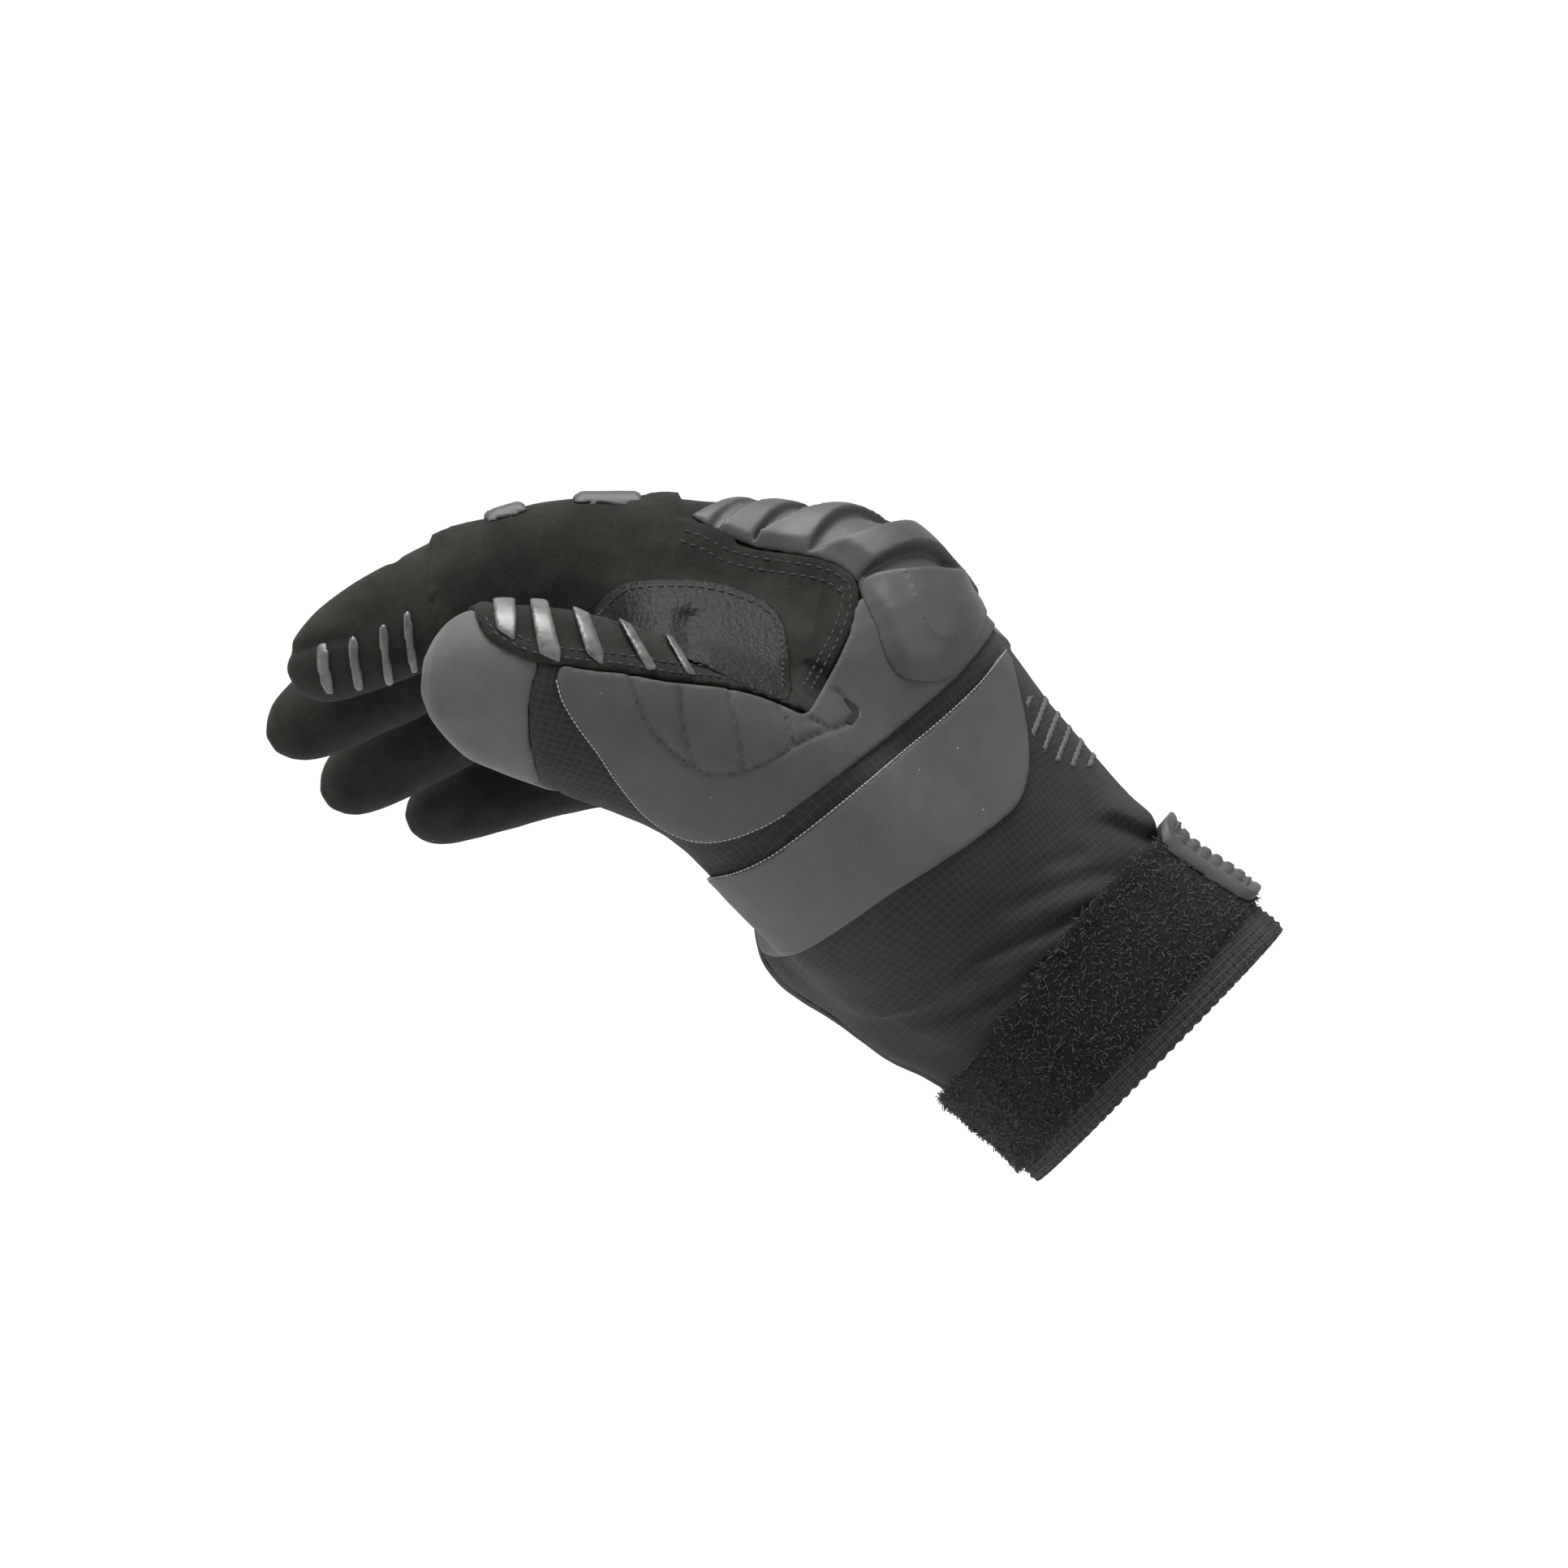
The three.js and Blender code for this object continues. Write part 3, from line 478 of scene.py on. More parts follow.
# Outlines and lines in the picture, in its pixels
outlines = {
    "suedeCorner": [(833, 640), (867, 650), (900, 668), (933, 677), (1000, 686), (1033, 697), (1050, 708),
                    (1057, 724), (1057, 745), (1046, 780), (1028, 816), (1008, 852), (994, 872), (975, 905),
                    (900, 930), (700, 920), (560, 820), (560, 560), (815, 560)],
    "thumbStrip": [(584, 690), (585, 750), (589, 766), (600, 784), (620, 798), (652, 812), (680, 818),
                   (720, 823), (768, 828), (820, 838), (880, 844), (912, 850), (940, 858), (968, 869),
                   (992, 877), (1060, 900), (1060, 690)],
    "thumbCap": [(450, 700), (584, 700), (585, 750), (589, 766), (600, 784), (620, 798), (652, 812),
                 (662, 816), (655, 840), (650, 870), (651, 910), (656, 935), (664, 962), (680, 1010),
                 (450, 1010)],
    "sidePanel": [(692, 821), (720, 825), (768, 830), (820, 840), (880, 846), (912, 852), (940, 860),
                  (968, 871), (990, 880), (1002, 868), (1022, 832), (1046, 782), (1059, 738), (1120, 735),
                  (1215, 742), (1229, 766), (1192, 820), (1148, 862), (1080, 920), (1000, 980), (965, 1005),
                  (940, 1019), (900, 1034), (864, 1038), (828, 1028), (792, 1003), (760, 964), (736, 928),
                  (712, 896), (693, 864), (686, 840)],
    "band": [(1240, 801), (1207, 842), (1163, 884), (1115, 924), (1063, 968), (1015, 1007), (980, 1034),
             (945, 1058), (905, 1076), (866, 1084), (886, 1112), (905, 1140), (925, 1163), (950, 1178),
             (975, 1177), (1000, 1167), (1050, 1135), (1100, 1100), (1165, 1060), (1222, 1020),
             (1256, 988), (1268, 950), (1267, 905), (1256, 850)],
    "saddlePatch": [(728, 790), (728, 765), (738, 742), (760, 724), (784, 716), (840, 714), (880, 718),
                    (920, 730), (952, 748), (967, 772), (972, 804), (973, 863), (940, 854), (905, 840),
                    (870, 822), (840, 812), (790, 800)],
    "backPrint": [(1262, 858), (1290, 852), (1318, 868), (1366, 912), (1368, 930), (1352, 944), (1330, 948),
                  (1296, 938), (1270, 905)],
    "lobe": [(1059, 719), (1081, 705), (1122, 699), (1160, 699), (1195, 704), (1212, 714), (1219, 738),
             (1214, 765), (1207, 785), (1184, 826), (1166, 838), (1148, 842), (1122, 840), (1107, 834),
             (1092, 815), (1079, 775), (1070, 755), (1062, 738)],
    "lobeFace": [(1106, 690), (1117, 705), (1124, 727), (1143, 769), (1152, 782), (1166, 789), (1176, 788),
                 (1190, 778), (1230, 750), (1240, 690)],
}
embossed = {
    "arc": [(775, 832), (779, 850), (788, 872), (804, 900), (824, 922), (844, 937), (864, 950), (888, 954),
            (920, 948), (952, 936), (976, 921), (1000, 908), (1024, 900), (1044, 892), (1056, 878)],
    "lines": [[(836, 850), (838, 872), (846, 916), (854, 943)],
              [(899, 854), (903, 880), (911, 920), (916, 947)], [(960, 872), (970, 894), (976, 918)],
              [(998, 886), (1010, 891), (1020, 898)], [(1030, 850), (1042, 864), (1056, 878)]],
    "deep": 0.75, "wide": 0.42, "pillow": 0.45,
}
foldDepth = 1.4  # every fold's height is multiplied by it
folds = [  # line, half width and height in mm; a valley is negative
    ([(1342, 1118), (1290, 1143), (1230, 1170), (1165, 1202)], 1.5, -1.3),
    ([(1345, 1140), (1290, 1165), (1230, 1192), (1150, 1225)], 2.2, 1.1),
    ([(1295, 1192), (1250, 1212), (1200, 1236), (1140, 1262)], 1.4, -1.0),
    ([(1290, 1215), (1240, 1238), (1190, 1262)], 2.0, 0.8),
    ([(1385, 1070), (1330, 1085), (1270, 1108), (1200, 1135)], 1.8, -0.8),
    ([(1370, 1095), (1300, 1118), (1230, 1140)], 2.2, 0.7),
    ([(1443, 1042), (1405, 1030), (1370, 1016), (1340, 1012)], 1.6, -0.9),
    ([(1425, 1015), (1390, 1000), (1350, 990)], 2.6, 1.1),
    ([(1345, 1050), (1300, 1062), (1262, 1080)], 1.6, -0.5),
    ([(1250, 1262), (1200, 1290), (1150, 1305)], 1.8, -0.7),
    ([(985, 790), (980, 815), (978, 845)], 1.3, -0.9),
    ([(1003, 733), (1000, 775), (992, 820)], 1.6, 0.7),
    ([(1016, 740), (1013, 775), (1003, 810)], 1.0, -0.6),
    ([(847, 752), (849, 780), (850, 815)], 3.0, -1.2),
    ([(352, 808), (380, 797), (410, 790), (440, 785)], 1.0, -0.6),
]

# The seam between palm suede and back cloth on the thumb side: shares of the palm's length
seamOutline = [
    (-0.3, -0.46), (0.08, -0.47), (0.27, -0.52), (0.42, -0.55), (0.53, -0.545), (0.66, -0.53),
    (0.84, -0.53), (1.1, -0.48), (1.16, -0.42), (0.93, -0.2), (1.0, -0.1), (1.2, -0.16), (1.5, -0.2),
    (1.5, 1.0), (-0.3, 1.0),
]
seamView = {"plane": 45.0, "slant": (-0.11, -0.19)}
farSeam = -3.6
digitNames = [*fingers, "thumb"]


def hemPlace(places):
    return places[:, 0] - hand["hemSlant"] * places[:, 2]


def sideView(places):
    beyond = places[:, 1] - seamView["plane"]
    return np.column_stack([places[:, 0] - seamView["slant"][0] * beyond,
                            places[:, 2] - seamView["slant"][1] * beyond]) / hand["length"]


# An outline of the picture, kept to the side of the hand that faces the camera
def pictureRegion(area, outline, past):
    chosen = area["hand"][:, 1] > past
    region = np.full(len(chosen), farOutside)
    region[chosen] = insideOutline(smoothLine(outline, True, 3), area["pixel"][chosen])
    return region


# Soft waves in many directions, from -1 to 1, for cloth that isn't quite even
def ripples(places, size, seed, count=14):
    chance = np.random.default_rng(seed)
    ways = chance.normal(size=(count, 3))
    ways *= (2 * np.pi / size * chance.uniform(0.6, 1.5, count) / np.linalg.norm(ways, axis=1))[:, None]
    phases = chance.uniform(0, 2 * np.pi, count)
    return np.sin(places @ ways.T + phases).sum(1) / math.sqrt(count)


# Which digit a place belongs to past its base, and its coordinates there
def digitOwners(area, closest):
    owner = np.full(len(area["skin"]), -1)
    local = np.zeros((len(area["skin"]), 3))
    for i, name in enumerate(digitNames):
        mine = np.flatnonzero(closest == i)
        coords = digitPlaces(name, area["hand"][mine])
        past = coords[:, 0] > (base["thumb"] if name == "thumb" else base["finger"]) - 0.08
        owner[mine[past]] = i
        local[mine[past]] = coords[past]
    area["owner"], area["local"] = owner, local


def foldHeights(area):
    near = area["hand"][:, 1] > 8
    pixels = area["pixel"][near]
    height = np.zeros(len(near))
    for line, wide, high in folds:
        smooth = smoothLine(line, steps=3)
        along = smooth[-1] - smooth[0]
        share = (pixels - smooth[0]) @ along / (along @ along)
        ends = smoothStep(-0.15, 0.2, share) * (1 - smoothStep(0.6, 1.1, share))
        height[near] += foldDepth * high * np.exp(-((fromLine(smooth, pixels) / wide) ** 2)) * ends
    # gathers of the cloth along the strap, all round the wrist
    places = area["hand"]
    hem = hemPlace(places)
    angle = np.arctan2(places[:, 2], places[:, 1])
    wave = np.sin(angle * 9 + 1.3 * np.sin(angle * 4) + 0.05 * hem)
    gather = smoothStep(24, 29, hem) * (1 - smoothStep(34, 52, hem))
    height += 0.55 * wave * gather * np.where(places[:, 1] > 18, 0.25, 1)
    height += 0.12 * ripples(places, 22, 5) + 0.05 * ripples(places, 7, 6)
    return height


def suedeRegion(area):
    places, owner, local = area["hand"], area["owner"], area["local"]
    near = insideOutline(seamOutline, sideView(places), 1 / hand["length"])
    back = np.where(places[:, 1] > 0, near, places[:, 2] - farSeam)
    region = np.maximum(-back, pictureRegion(area, outlines["suedeCorner"], 20))
    for i, name in enumerate(fingers):
        past = (owner == i) & (local[:, 0] > base["finger"] + 0.02)
        half, thick = fingers[name]["width"] / 2, fingers[name]["thickness"] / 2
        right = 0.3 if name == "index" else 0.6
        at, side, up = local[past].T
        strip = np.minimum(up - 0.3 * thick, (0.8 - at) * 100)
        strip = np.minimum(strip, np.minimum(right * half - side, side + 0.7 * half))
        region[past] = -strip
    return region


thumbSeam = {"roll": math.radians(-43), "high": -0.13, "suedeEnd": 0.94, "capStart": 0.745}


def thumbRegions(area):
    strip = np.full(len(area["skin"]), farOutside)
    cap = strip.copy()
    mine = area["owner"] == digitNames.index("thumb")
    at, side, up = area["local"][mine].T
    c, s = math.cos(thumbSeam["roll"]), math.sin(thumbSeam["roll"])
    _, _, sideAxis, upAxis = digitFrames("thumb", [0.6])
    look = np.array((0.0, 1.0, -0.16))  # towards the camera
    toward = side * (sideAxis[0] @ look) + up * (upAxis[0] @ look)
    rolled = up * c - side * s
    far = np.minimum(thumbSeam["high"] * thumb["thickness"] / 2 - rolled, (thumbSeam["suedeEnd"] - at) * 112)
    near = insideOutline(outlines["thumbStrip"], area["pixel"][mine])
    strip[mine] = np.where(toward > 0, near, far)
    capNear = insideOutline(outlines["thumbCap"], area["pixel"][mine])
    cap[mine] = np.where(toward > 0, capNear, np.minimum((at - thumbSeam["capStart"]) * 112, -far))
    return mine, strip, cap


# A seam's valley: how far a panel's face sinks towards its edge
def seamSink(edge, deep=0.5, wide=0.9):
    return -deep * np.exp(-((edge / wide) ** 2))


# The hand's skin with its folds, on the first grid
def makeSkin(low, high, step):
    box = gridBox(low, high, step)
    plain = handDistance(box)
    area = surround(box, plain.copy(), (-3.8, 3.8))
    distances = np.stack([partDistance(name, box)[area["near"]] for name in digitNames])
    rest = np.minimum(partDistance("palm", box), partDistance("web", box))[area["near"]]
    closest = np.where(distances.min(0) < rest + 6, distances.argmin(0), -1)
    digitOwners(area, closest)
    area["closest"] = np.full(plain.shape, -1, np.int8)
    area["closest"][area["near"]] = closest
    area["plain"], area["thumb"] = plain, partDistance("thumb", box)
    area["skin"] = area["skin"] - foldHeights(area)
    area["whole"][area["near"]] = area["skin"]
    return area


# A finer part of the skin, from one depth to one height over it
def makeArea(low, high, step, span, folded=True, owners=False):
    box = gridBox(low, high, step)
    area = surround(box, refine(cloth["box"], cloth["whole" if folded else "plain"], box), span)
    if owners:
        digitOwners(area, cloth["closest"][nearestCells(cloth, area["place"])])
    return area


rayDepths = (740, 900)  # from the camera, in mm, around the whole glove


# The place on the skin that shows at a pixel of the picture
def onSkin(area, pixels, height=0.0, foundOnly=False):
    box, whole = area["box"], area["whole"]
    camera = np.array(view["place"])
    middle = view["picture"] / 2
    pixels = np.asarray(pixels, float)
    ways = np.column_stack([(pixels[:, 0] - middle) / pixelsPerTangent, np.ones(len(pixels)),
                            (middle - pixels[:, 1]) / pixelsPerTangent])
    depths = np.arange(*rayDepths, 0.25)
    ray = camera + ways[:, None] * depths[None, :, None]
    cells = ray / box["step"] - box["start"]
    low = np.floor(cells).astype(int)
    inside = np.all((low >= 0) & (low < np.array(whole.shape) - 1), axis=2)
    low = np.clip(low, 0, np.array(whole.shape) - 2)
    part = np.clip(cells - low, 0, 1)
    value = 0
    for corner in np.ndindex(2, 2, 2):
        weight = np.prod(np.where(corner, part, 1 - part), axis=2)
        value = value + weight * whole[tuple((low + corner).transpose(2, 0, 1))]
    hit = inside & (value < height)
    found = hit.any(1)
    first = np.where(found, hit.argmax(1), np.abs(np.where(inside, value, 99) - height).argmin(1))
    places = ray[np.arange(len(pixels)), first]
    return places[found] if foundOnly else places


pieces = {}  # by name: the object, the frame nodes that it replaces, its look, slot and cloth facts


def addPiece(obj, nodes, look, slot, cloth=None):
    pieces[obj.name] = {"obj": obj, "nodes": nodes, "look": look, "slot": slot, "cloth": cloth}
    return obj


# Lays a UV map in mm on a piece: along the hand or digit, and around it
def layWeave(obj, turnBy=0.0):
    points, corners = readMesh(obj)
    places = points @ turn
    around = np.arctan2(places[:, 2] + 6, places[:, 1]) * 41
    along = places[:, 0].copy()
    closest = cloth["closest"][nearestCells(cloth, points)]
    for i, name in enumerate(digitNames):
        mine = np.flatnonzero(closest == i)
        coords = digitPlaces(name, places[mine])
        past = coords[:, 0] > base["thumb" if name == "thumb" else "finger"]
        mine, coords = mine[past], coords[past]
        along[mine] = coords[:, 0] * (thumb["length"] if name == "thumb" else sum(fingers[name]["bones"]))
        around[mine] = np.arctan2(coords[:, 2], coords[:, 1]) * 13
    c, s = math.cos(turnBy), math.sin(turnBy)
    flat = np.column_stack([along * c - around * s, along * s + around * c]) / 1000
    weave = obj.data.uv_layers.new(name="weave")
    weave.data.foreach_set("uv", flat[corners].astype(np.float32).ravel())


# Where the hollow's wall shows through the opening, so that its inner face is kept
def cuffKept(places):
    return hemPlace(places) < 42


inner = -hand["wall"]
# start: how far from the hem the cloth begins, inside the binding
shellCut = {"start": 4.0, "overlay": 1.25, "overlayReach": 13, "rim": 0.9, "allowance": 0.5,
            "capValley": 0.35}
cloth = makeSkin((-176, -80, -32), (30, 62, 112), 0.82)
print("skin made")


# The suede, the ripstop and the thumb's knit, which meet edge to edge. The suede's corner and its
# strip on the thumb lie over the panels beside them, so their rims stand up.
def makeShell():
    mine, strip, cap = thumbRegions(cloth)
    suede = np.where(mine, strip, suedeRegion(cloth))
    shell = hemPlace(cloth["hand"]) - shellCut["start"]
    corner = pictureRegion(cloth, outlines["suedeCorner"], 20)
    onCorner = (corner > -1) * (cloth["hand"][:, 1] > 20)
    overlaid = shellCut["overlay"] * (1 - smoothStep(0, shellCut["overlayReach"], np.abs(corner))) * onCorner
    rim = np.where(mine, shellCut["rim"] * (1 - smoothStep(1.5, 5, np.abs(strip))), 0)
    lift = np.maximum(np.where(mine, rim, overlaid), 0)
    sink = np.where(lift > 0.3, 0, seamSink(suede))
    high = sink + np.where(suede > -0.5, lift, 0)
    under = shellCut["allowance"] * smoothStep(-0.55, -0.85, cloth["skin"])  # only below the face
    palm = cutPiece("palm_suede", cloth, inner, high, np.minimum(suede + under, shell), keepInner=cuffKept)
    back = np.minimum(-suede, -cap)
    sink, back = seamSink(back), np.minimum(back, shell)
    ripstop = cutPiece("back_cloth", cloth, inner, sink, back, keepInner=cuffKept)
    sink = seamSink(cap, shellCut["capValley"])
    knit = cutPiece("thumb_knit", cloth, inner, sink, cap + under, keepInner=cuffKept)
    addPiece(palm, ["palm_panel", "index_palm_side", "middle_palm_side", "ring_palm_side", "little_palm_side",
                    "thumb_palm_side"], "suede", "suede", {"flat": (0.22, 0.27), "area": 0.028})
    addPiece(ripstop, ["back_panel", "index_back", "middle_back", "ring_back", "little_back", "thumb_back"],
             "ripstop", "ripstop", {"flat": (0.24, 0.26), "area": 0.031})
    addPiece(knit, ["thumb_cap"], "knit", "knit", {"flat": (0.045, 0.05), "area": 0.0014})
    layWeave(ripstop)
    layWeave(knit, 0.5)


makeShell()
print("cloth cut")

fine = makeArea((-135, -80, 30), (-20, 10, 112), 0.58, (-1.5, 2.6))
fineBand = makeArea((-100, -62, 5), (-10, 10, 90), 0.6, (-1.7, 2.6))
# low: how far a panel reaches into the cloth below it; the others are heights over the skin
panelCut = {"low": -0.3, "side": 1.0, "band": 1.0, "patch": 1.15, "patchFadeFrom": 825, "patchFadeTo": 870}


def makePanels():
    side = pictureRegion(fine, outlines["sidePanel"], 12)
    pixels = fine["pixel"]
    lines = [smoothLine(embossed["arc"], steps=3), *[smoothLine(line, steps=3) for line in embossed["lines"]]]
    chosen = np.flatnonzero(side > 0)
    apart = np.min([fromLine(line, pixels[chosen]) for line in lines], axis=0)
    inArc = insideOutline(np.concatenate([lines[0], [(1030, 845), (940, 800), (800, 800)]]), pixels[chosen])
    groove = np.zeros(len(side))
    groove[chosen] = -embossed["deep"] * np.exp(-((apart / embossed["wide"]) ** 2))
    groove[chosen] += np.where(inArc > 0, embossed["pillow"] * (1 - np.exp(-((apart / 2.2) ** 2))), 0)
    low = panelCut["low"]
    panel = cutPiece("side_rubber", fine, low, panelCut["side"] + groove, side, 0.4)
    bandRegion = pictureRegion(fineBand, outlines["band"], 5)
    band = cutPiece("band_rubber", fineBand, low, panelCut["band"], bandRegion, 0.35)
    # the patch ends where the thumb begins, except at its right end
    fade = smoothStep(panelCut["patchFadeFrom"], panelCut["patchFadeTo"], fine["pixel"][:, 0])
    past = (fromThumb(fine) - 0.3) * 2 + 6 * fade
    patch = np.minimum(pictureRegion(fine, outlines["saddlePatch"], 16), past)
    high = panelCut["patch"] + seamSink(patch - 0.9, 0.18, 0.5)
    saddle = cutPiece("saddle_grain", fine, low, high, patch, 0.35)
    addPiece(panel, ["side_panel"], "coated", "coated_cloth",
             {"flat": (0.055, 0.1), "area": 0.0039, "on": ["back_cloth"]})
    addPiece(band, ["band_panel"], "coatedBand", "coated_cloth",
             {"flat": (0.036, 0.085), "area": 0.0025, "on": ["back_cloth"]})
    addPiece(saddle, ["saddle_patch"], "grained", "grained_patch",
             {"flat": (0.042, 0.045), "area": 0.0016, "on": ["palm_suede"]})


makePanels()
print("panels cut")


printBars = {"pitch": 3.1, "half": 0.62, "across": (0.93, 0.36), "high": 0.28}


# Plain slanted bars printed on the back of the hand
def makePrint():
    area = makeArea((-36, -50, 40), (0, 20, 78), 0.5, (-1.3, 1.8))
    region = insideOutline(outlines["backPrint"], area["pixel"])
    across = area["pixel"] @ printBars["across"] / pixelsPerMm
    bars = printBars["half"] - np.abs(across / printBars["pitch"] % 1 - 0.5) * printBars["pitch"]
    bars = np.where(area["place"][:, 1] < 15, np.minimum(region, bars), farOutside)
    printed = cutPiece("back_print", area, -0.3, printBars["high"], bars, 0.15)
    addPiece(printed, [], "print", "silicone")


makePrint()

# Knuckle guard. Each ridge's side is a plane through three points of the picture: its foot, its
# near crest and its far crest; the last number is the crest's height over the skin.
ridges = [
    {"name": "A", "left": None, "right": [(876, 651), (890, 625), (922, 612)], "rise": 1.5},
    {"name": "B", "left": [(889, 654), (909, 627), (949, 613)], "right": [(934, 664), (952, 628), (986, 614)],
     "rise": 2.1},
    {"name": "L3", "left": [(944, 662), (975, 630), (1027, 617)],
     "right": [(1000, 678), (1019, 635), (1063, 620)], "rise": 2.9},
    {"name": "L2", "left": [(1004, 678), (1060, 653), (1104, 641)],
     "right": [(1058, 714), (1100, 675), (1150, 667)], "rise": 4.0},
]
guard = {
    "outline": [(850, 635), (876, 652), (933, 676), (1000, 686), (1033, 697), (1052, 712), (1062, 738),
                (1100, 770), (1215, 790), (1260, 760), (1300, 700), (1200, 560), (960, 560), (918, 596),
                (896, 613), (872, 623)],
    "base": 0.6, "pad": 1.9, "farEnd": -40.0, "chamfer": 0.55,
    "wristLine": 83.0, "fingerLine": 146.0, "slant": 0.25, "bow": 0.004,  # its ends on the far side
    "rimHigh": 0.9, "ridgeRound": 0.22, "ridgeFillet": 0.35, "lobeLow": 1.1, "lobeHigh": 3.2, "face": 0.6,
}


def planeThrough(places, inside):
    a, b, c = places
    normal = np.cross(b - a, c - a)
    normal /= np.linalg.norm(normal)
    if normal @ inside < 0:
        normal = -normal
    return a, normal


def makeGuard():
    area = makeArea((-112, -58, 48), (-18, 56, 112), 0.55, (-1.5, 6.8), folded=False)
    places, hands = area["place"], area["hand"]
    fingerward = turn @ np.array((1.0, 0, 0))
    region = insideOutline(guard["outline"], area["pixel"])
    near = hands[:, 1] > 22
    # on the far side the guard ends in a line behind the knuckles
    slant = guard["slant"] * (hands[:, 1] - 20)
    wristEdge = hands[:, 0] - (guard["wristLine"] + slant + guard["bow"] * (hands[:, 1] - 5) ** 2)
    fingerEdge = guard["fingerLine"] + slant - hands[:, 0]
    farRegion = smoothMax([guard["farEnd"] - hands[:, 1], -wristEdge, -fingerEdge], 6)
    wristEdge += 4 * smoothStep(16, 34, hands[:, 1])
    region = np.where(near, np.minimum(region, wristEdge), np.minimum(-farRegion, 12))
    region = np.minimum(region, hands[:, 2] + 2 + 12 * smoothStep(8, 24, hands[:, 1]))
    chamfer = guard["rimHigh"] + np.maximum(region, 0) * guard["chamfer"]
    indexSide = smoothStep(4, 15, hands[:, 1])  # past it the guard is a plain pad
    form = np.maximum(area["skin"] - (guard["base"] + guard["pad"] * (1 - indexSide)), 0 - area["skin"])
    for ridge in ridges:
        sides = []
        for points, way in ((ridge["left"], -1), (ridge["right"], 1)):
            if points is None:
                continue
            foot = onSkin(area, points[:1], 0.6)[0]
            crest = onSkin(area, points[1:], ridge["rise"])
            at, normal = planeThrough([foot, *crest], fingerward * way)
            sides.append(-(places - at) @ normal)
        block = [area["skin"] - ridge["rise"] * indexSide, area["skin"] - chamfer, *sides]
        form = blend(form, smoothMax(block, guard["ridgeRound"]), guard["ridgeFillet"])
    # the lobe over the index knuckle, with its raised face
    lobe = pictureRegion(area, outlines["lobe"], 23)
    tall = pictureRegion(area, [*outlines["lobe"][5:], (1040, 640), (1200, 620), (1250, 640)], 14)
    face = pictureRegion(area, outlines["lobeFace"], 14)
    lobeHigh = guard["lobeLow"] + guard["lobeHigh"] * smoothStep(-0.8, 6.0, tall)
    lobeHigh += guard["face"] * smoothStep(-0.2, 0.2, face)
    form = blend(form, smoothMax([area["skin"] - lobeHigh, -lobe], 0.3), 0.3)
    form = smoothMax([form, -np.maximum(region, lobe)], 0.3)
    form = np.maximum(form, 0.1 - area["skin"])
    points, quads = surfaceMesh(area, form)
    addPiece(meshObject("knuckle_rubber", points, quads), ["knuckle_guard"], "guard", "guard_rubber")


makeGuard()
print("guard cut")

# Plates on the fingers' backs: where they lie along a finger, their share of its width, their rim's
# and their middle's height. Bars: outlines in the picture.
fingerPlates = {"proximal": (0.475, 0.565), "middle": (0.62, 0.67), "wide": 0.64, "rim": 0.5, "high": 1.25}
barHigh = {"index": 0.8, "thumb": 1.35}
indexBars = [
    [(389, 797), (403, 792), (406, 822), (413, 853), (400, 854), (391, 825)],
    [(428, 788), (440, 784), (443, 815), (449, 848), (437, 850), (431, 820)],
    [(466, 774), (477, 770), (480, 805), (486, 841), (475, 844), (469, 808)],
    [(496, 758), (506, 754), (510, 790), (516, 826), (506, 829), (499, 792)],
]
thumbBars = [
    [(606, 730), (634, 722), (637, 768), (634, 790), (611, 775)],
    [(650, 725), (674, 735), (692, 804), (690, 817), (664, 806)],
    [(704, 745), (726, 755), (745, 806), (743, 821), (723, 806)],
    [(760, 760), (777, 768), (812, 826), (797, 827)],
    [(818, 780), (830, 785), (859, 832), (846, 831)],
]


def makeTrims():
    area = makeArea((-172, -80, 38), (-60, 48, 112), 0.5, (-1.4, 3.4), owners=True)
    owner, local = area["owner"], area["local"]
    for i, name in enumerate(fingers):
        mine = owner == i
        at, side, up = local.T
        wide = fingerPlates["wide"] * fingers[name]["width"] / 2
        for part in ("proximal", "middle"):
            start, end = fingerPlates[part]
            run = 100 if name != "little" else 80
            region = np.minimum((at - start) * run, (end - at) * run)
            region = np.minimum(region, np.minimum(wide - side, wide + side))
            region = np.where(mine & (up > 0), region, farOutside)
            rim = fingerPlates["rim"]
            high = rim + np.minimum(np.maximum(region, 0) * 0.8, fingerPlates["high"] - rim)
            plate = cutPiece(f"{name}_plate_{part}", area, 0.0, high, region, 0.4)
            addPiece(plate, [f"{name}_guard_{part}"], "guard", "guard_rubber")
    onIndex = (owner == digitNames.index("index")) & (area["hand"][:, 1] > 25)
    for number, outline in enumerate(indexBars, 1):
        region = np.where(onIndex, insideOutline(smoothLine(outline, True, 2), area["pixel"]), farOutside)
        bar = cutPiece(f"index_bar_{number}", area, 0.0, barHigh["index"], region, 0.4)
        addPiece(bar, [f"index_grip_bar_{number}"], "silicone", "silicone")
    onThumb = (owner == digitNames.index("thumb")) & (area["place"][:, 1] < -48)
    for number, outline in enumerate(thumbBars, 1):
        region = np.where(onThumb, insideOutline(outline, area["pixel"]), farOutside)
        bar = cutPiece(f"thumb_bar_{number}", area, 0.0, barHigh["thumb"], region, 0.5)
        addPiece(bar, [f"thumb_grip_bar_{number}"], "silicone", "silicone")
    return area


tipArea = makeTrims()
print("trims cut")

# Cuff: strap, pull tab and knit binding
strap = {"start": 6.0, "slant": 0.06, "width": 21.0, "bow": 2.6, "low": 0.2, "high": 2.3}
tab = {"middle": 8.0, "half": 16.5, "low": 2.2, "high": 4.2, "from": 0.5, "to": 23.5, "corner": 4.0,
       "blocks": (2.9, 2.6), "raised": 0.7, "border": 2.6}
cuffBox = ((-62, -52, -34), (32, 54, 62))
bindingSize = {"width": 9.2, "high": 0.8, "rib": 1.5, "ribHigh": 0.32, "bead": 1.7, "inside": -2.2}


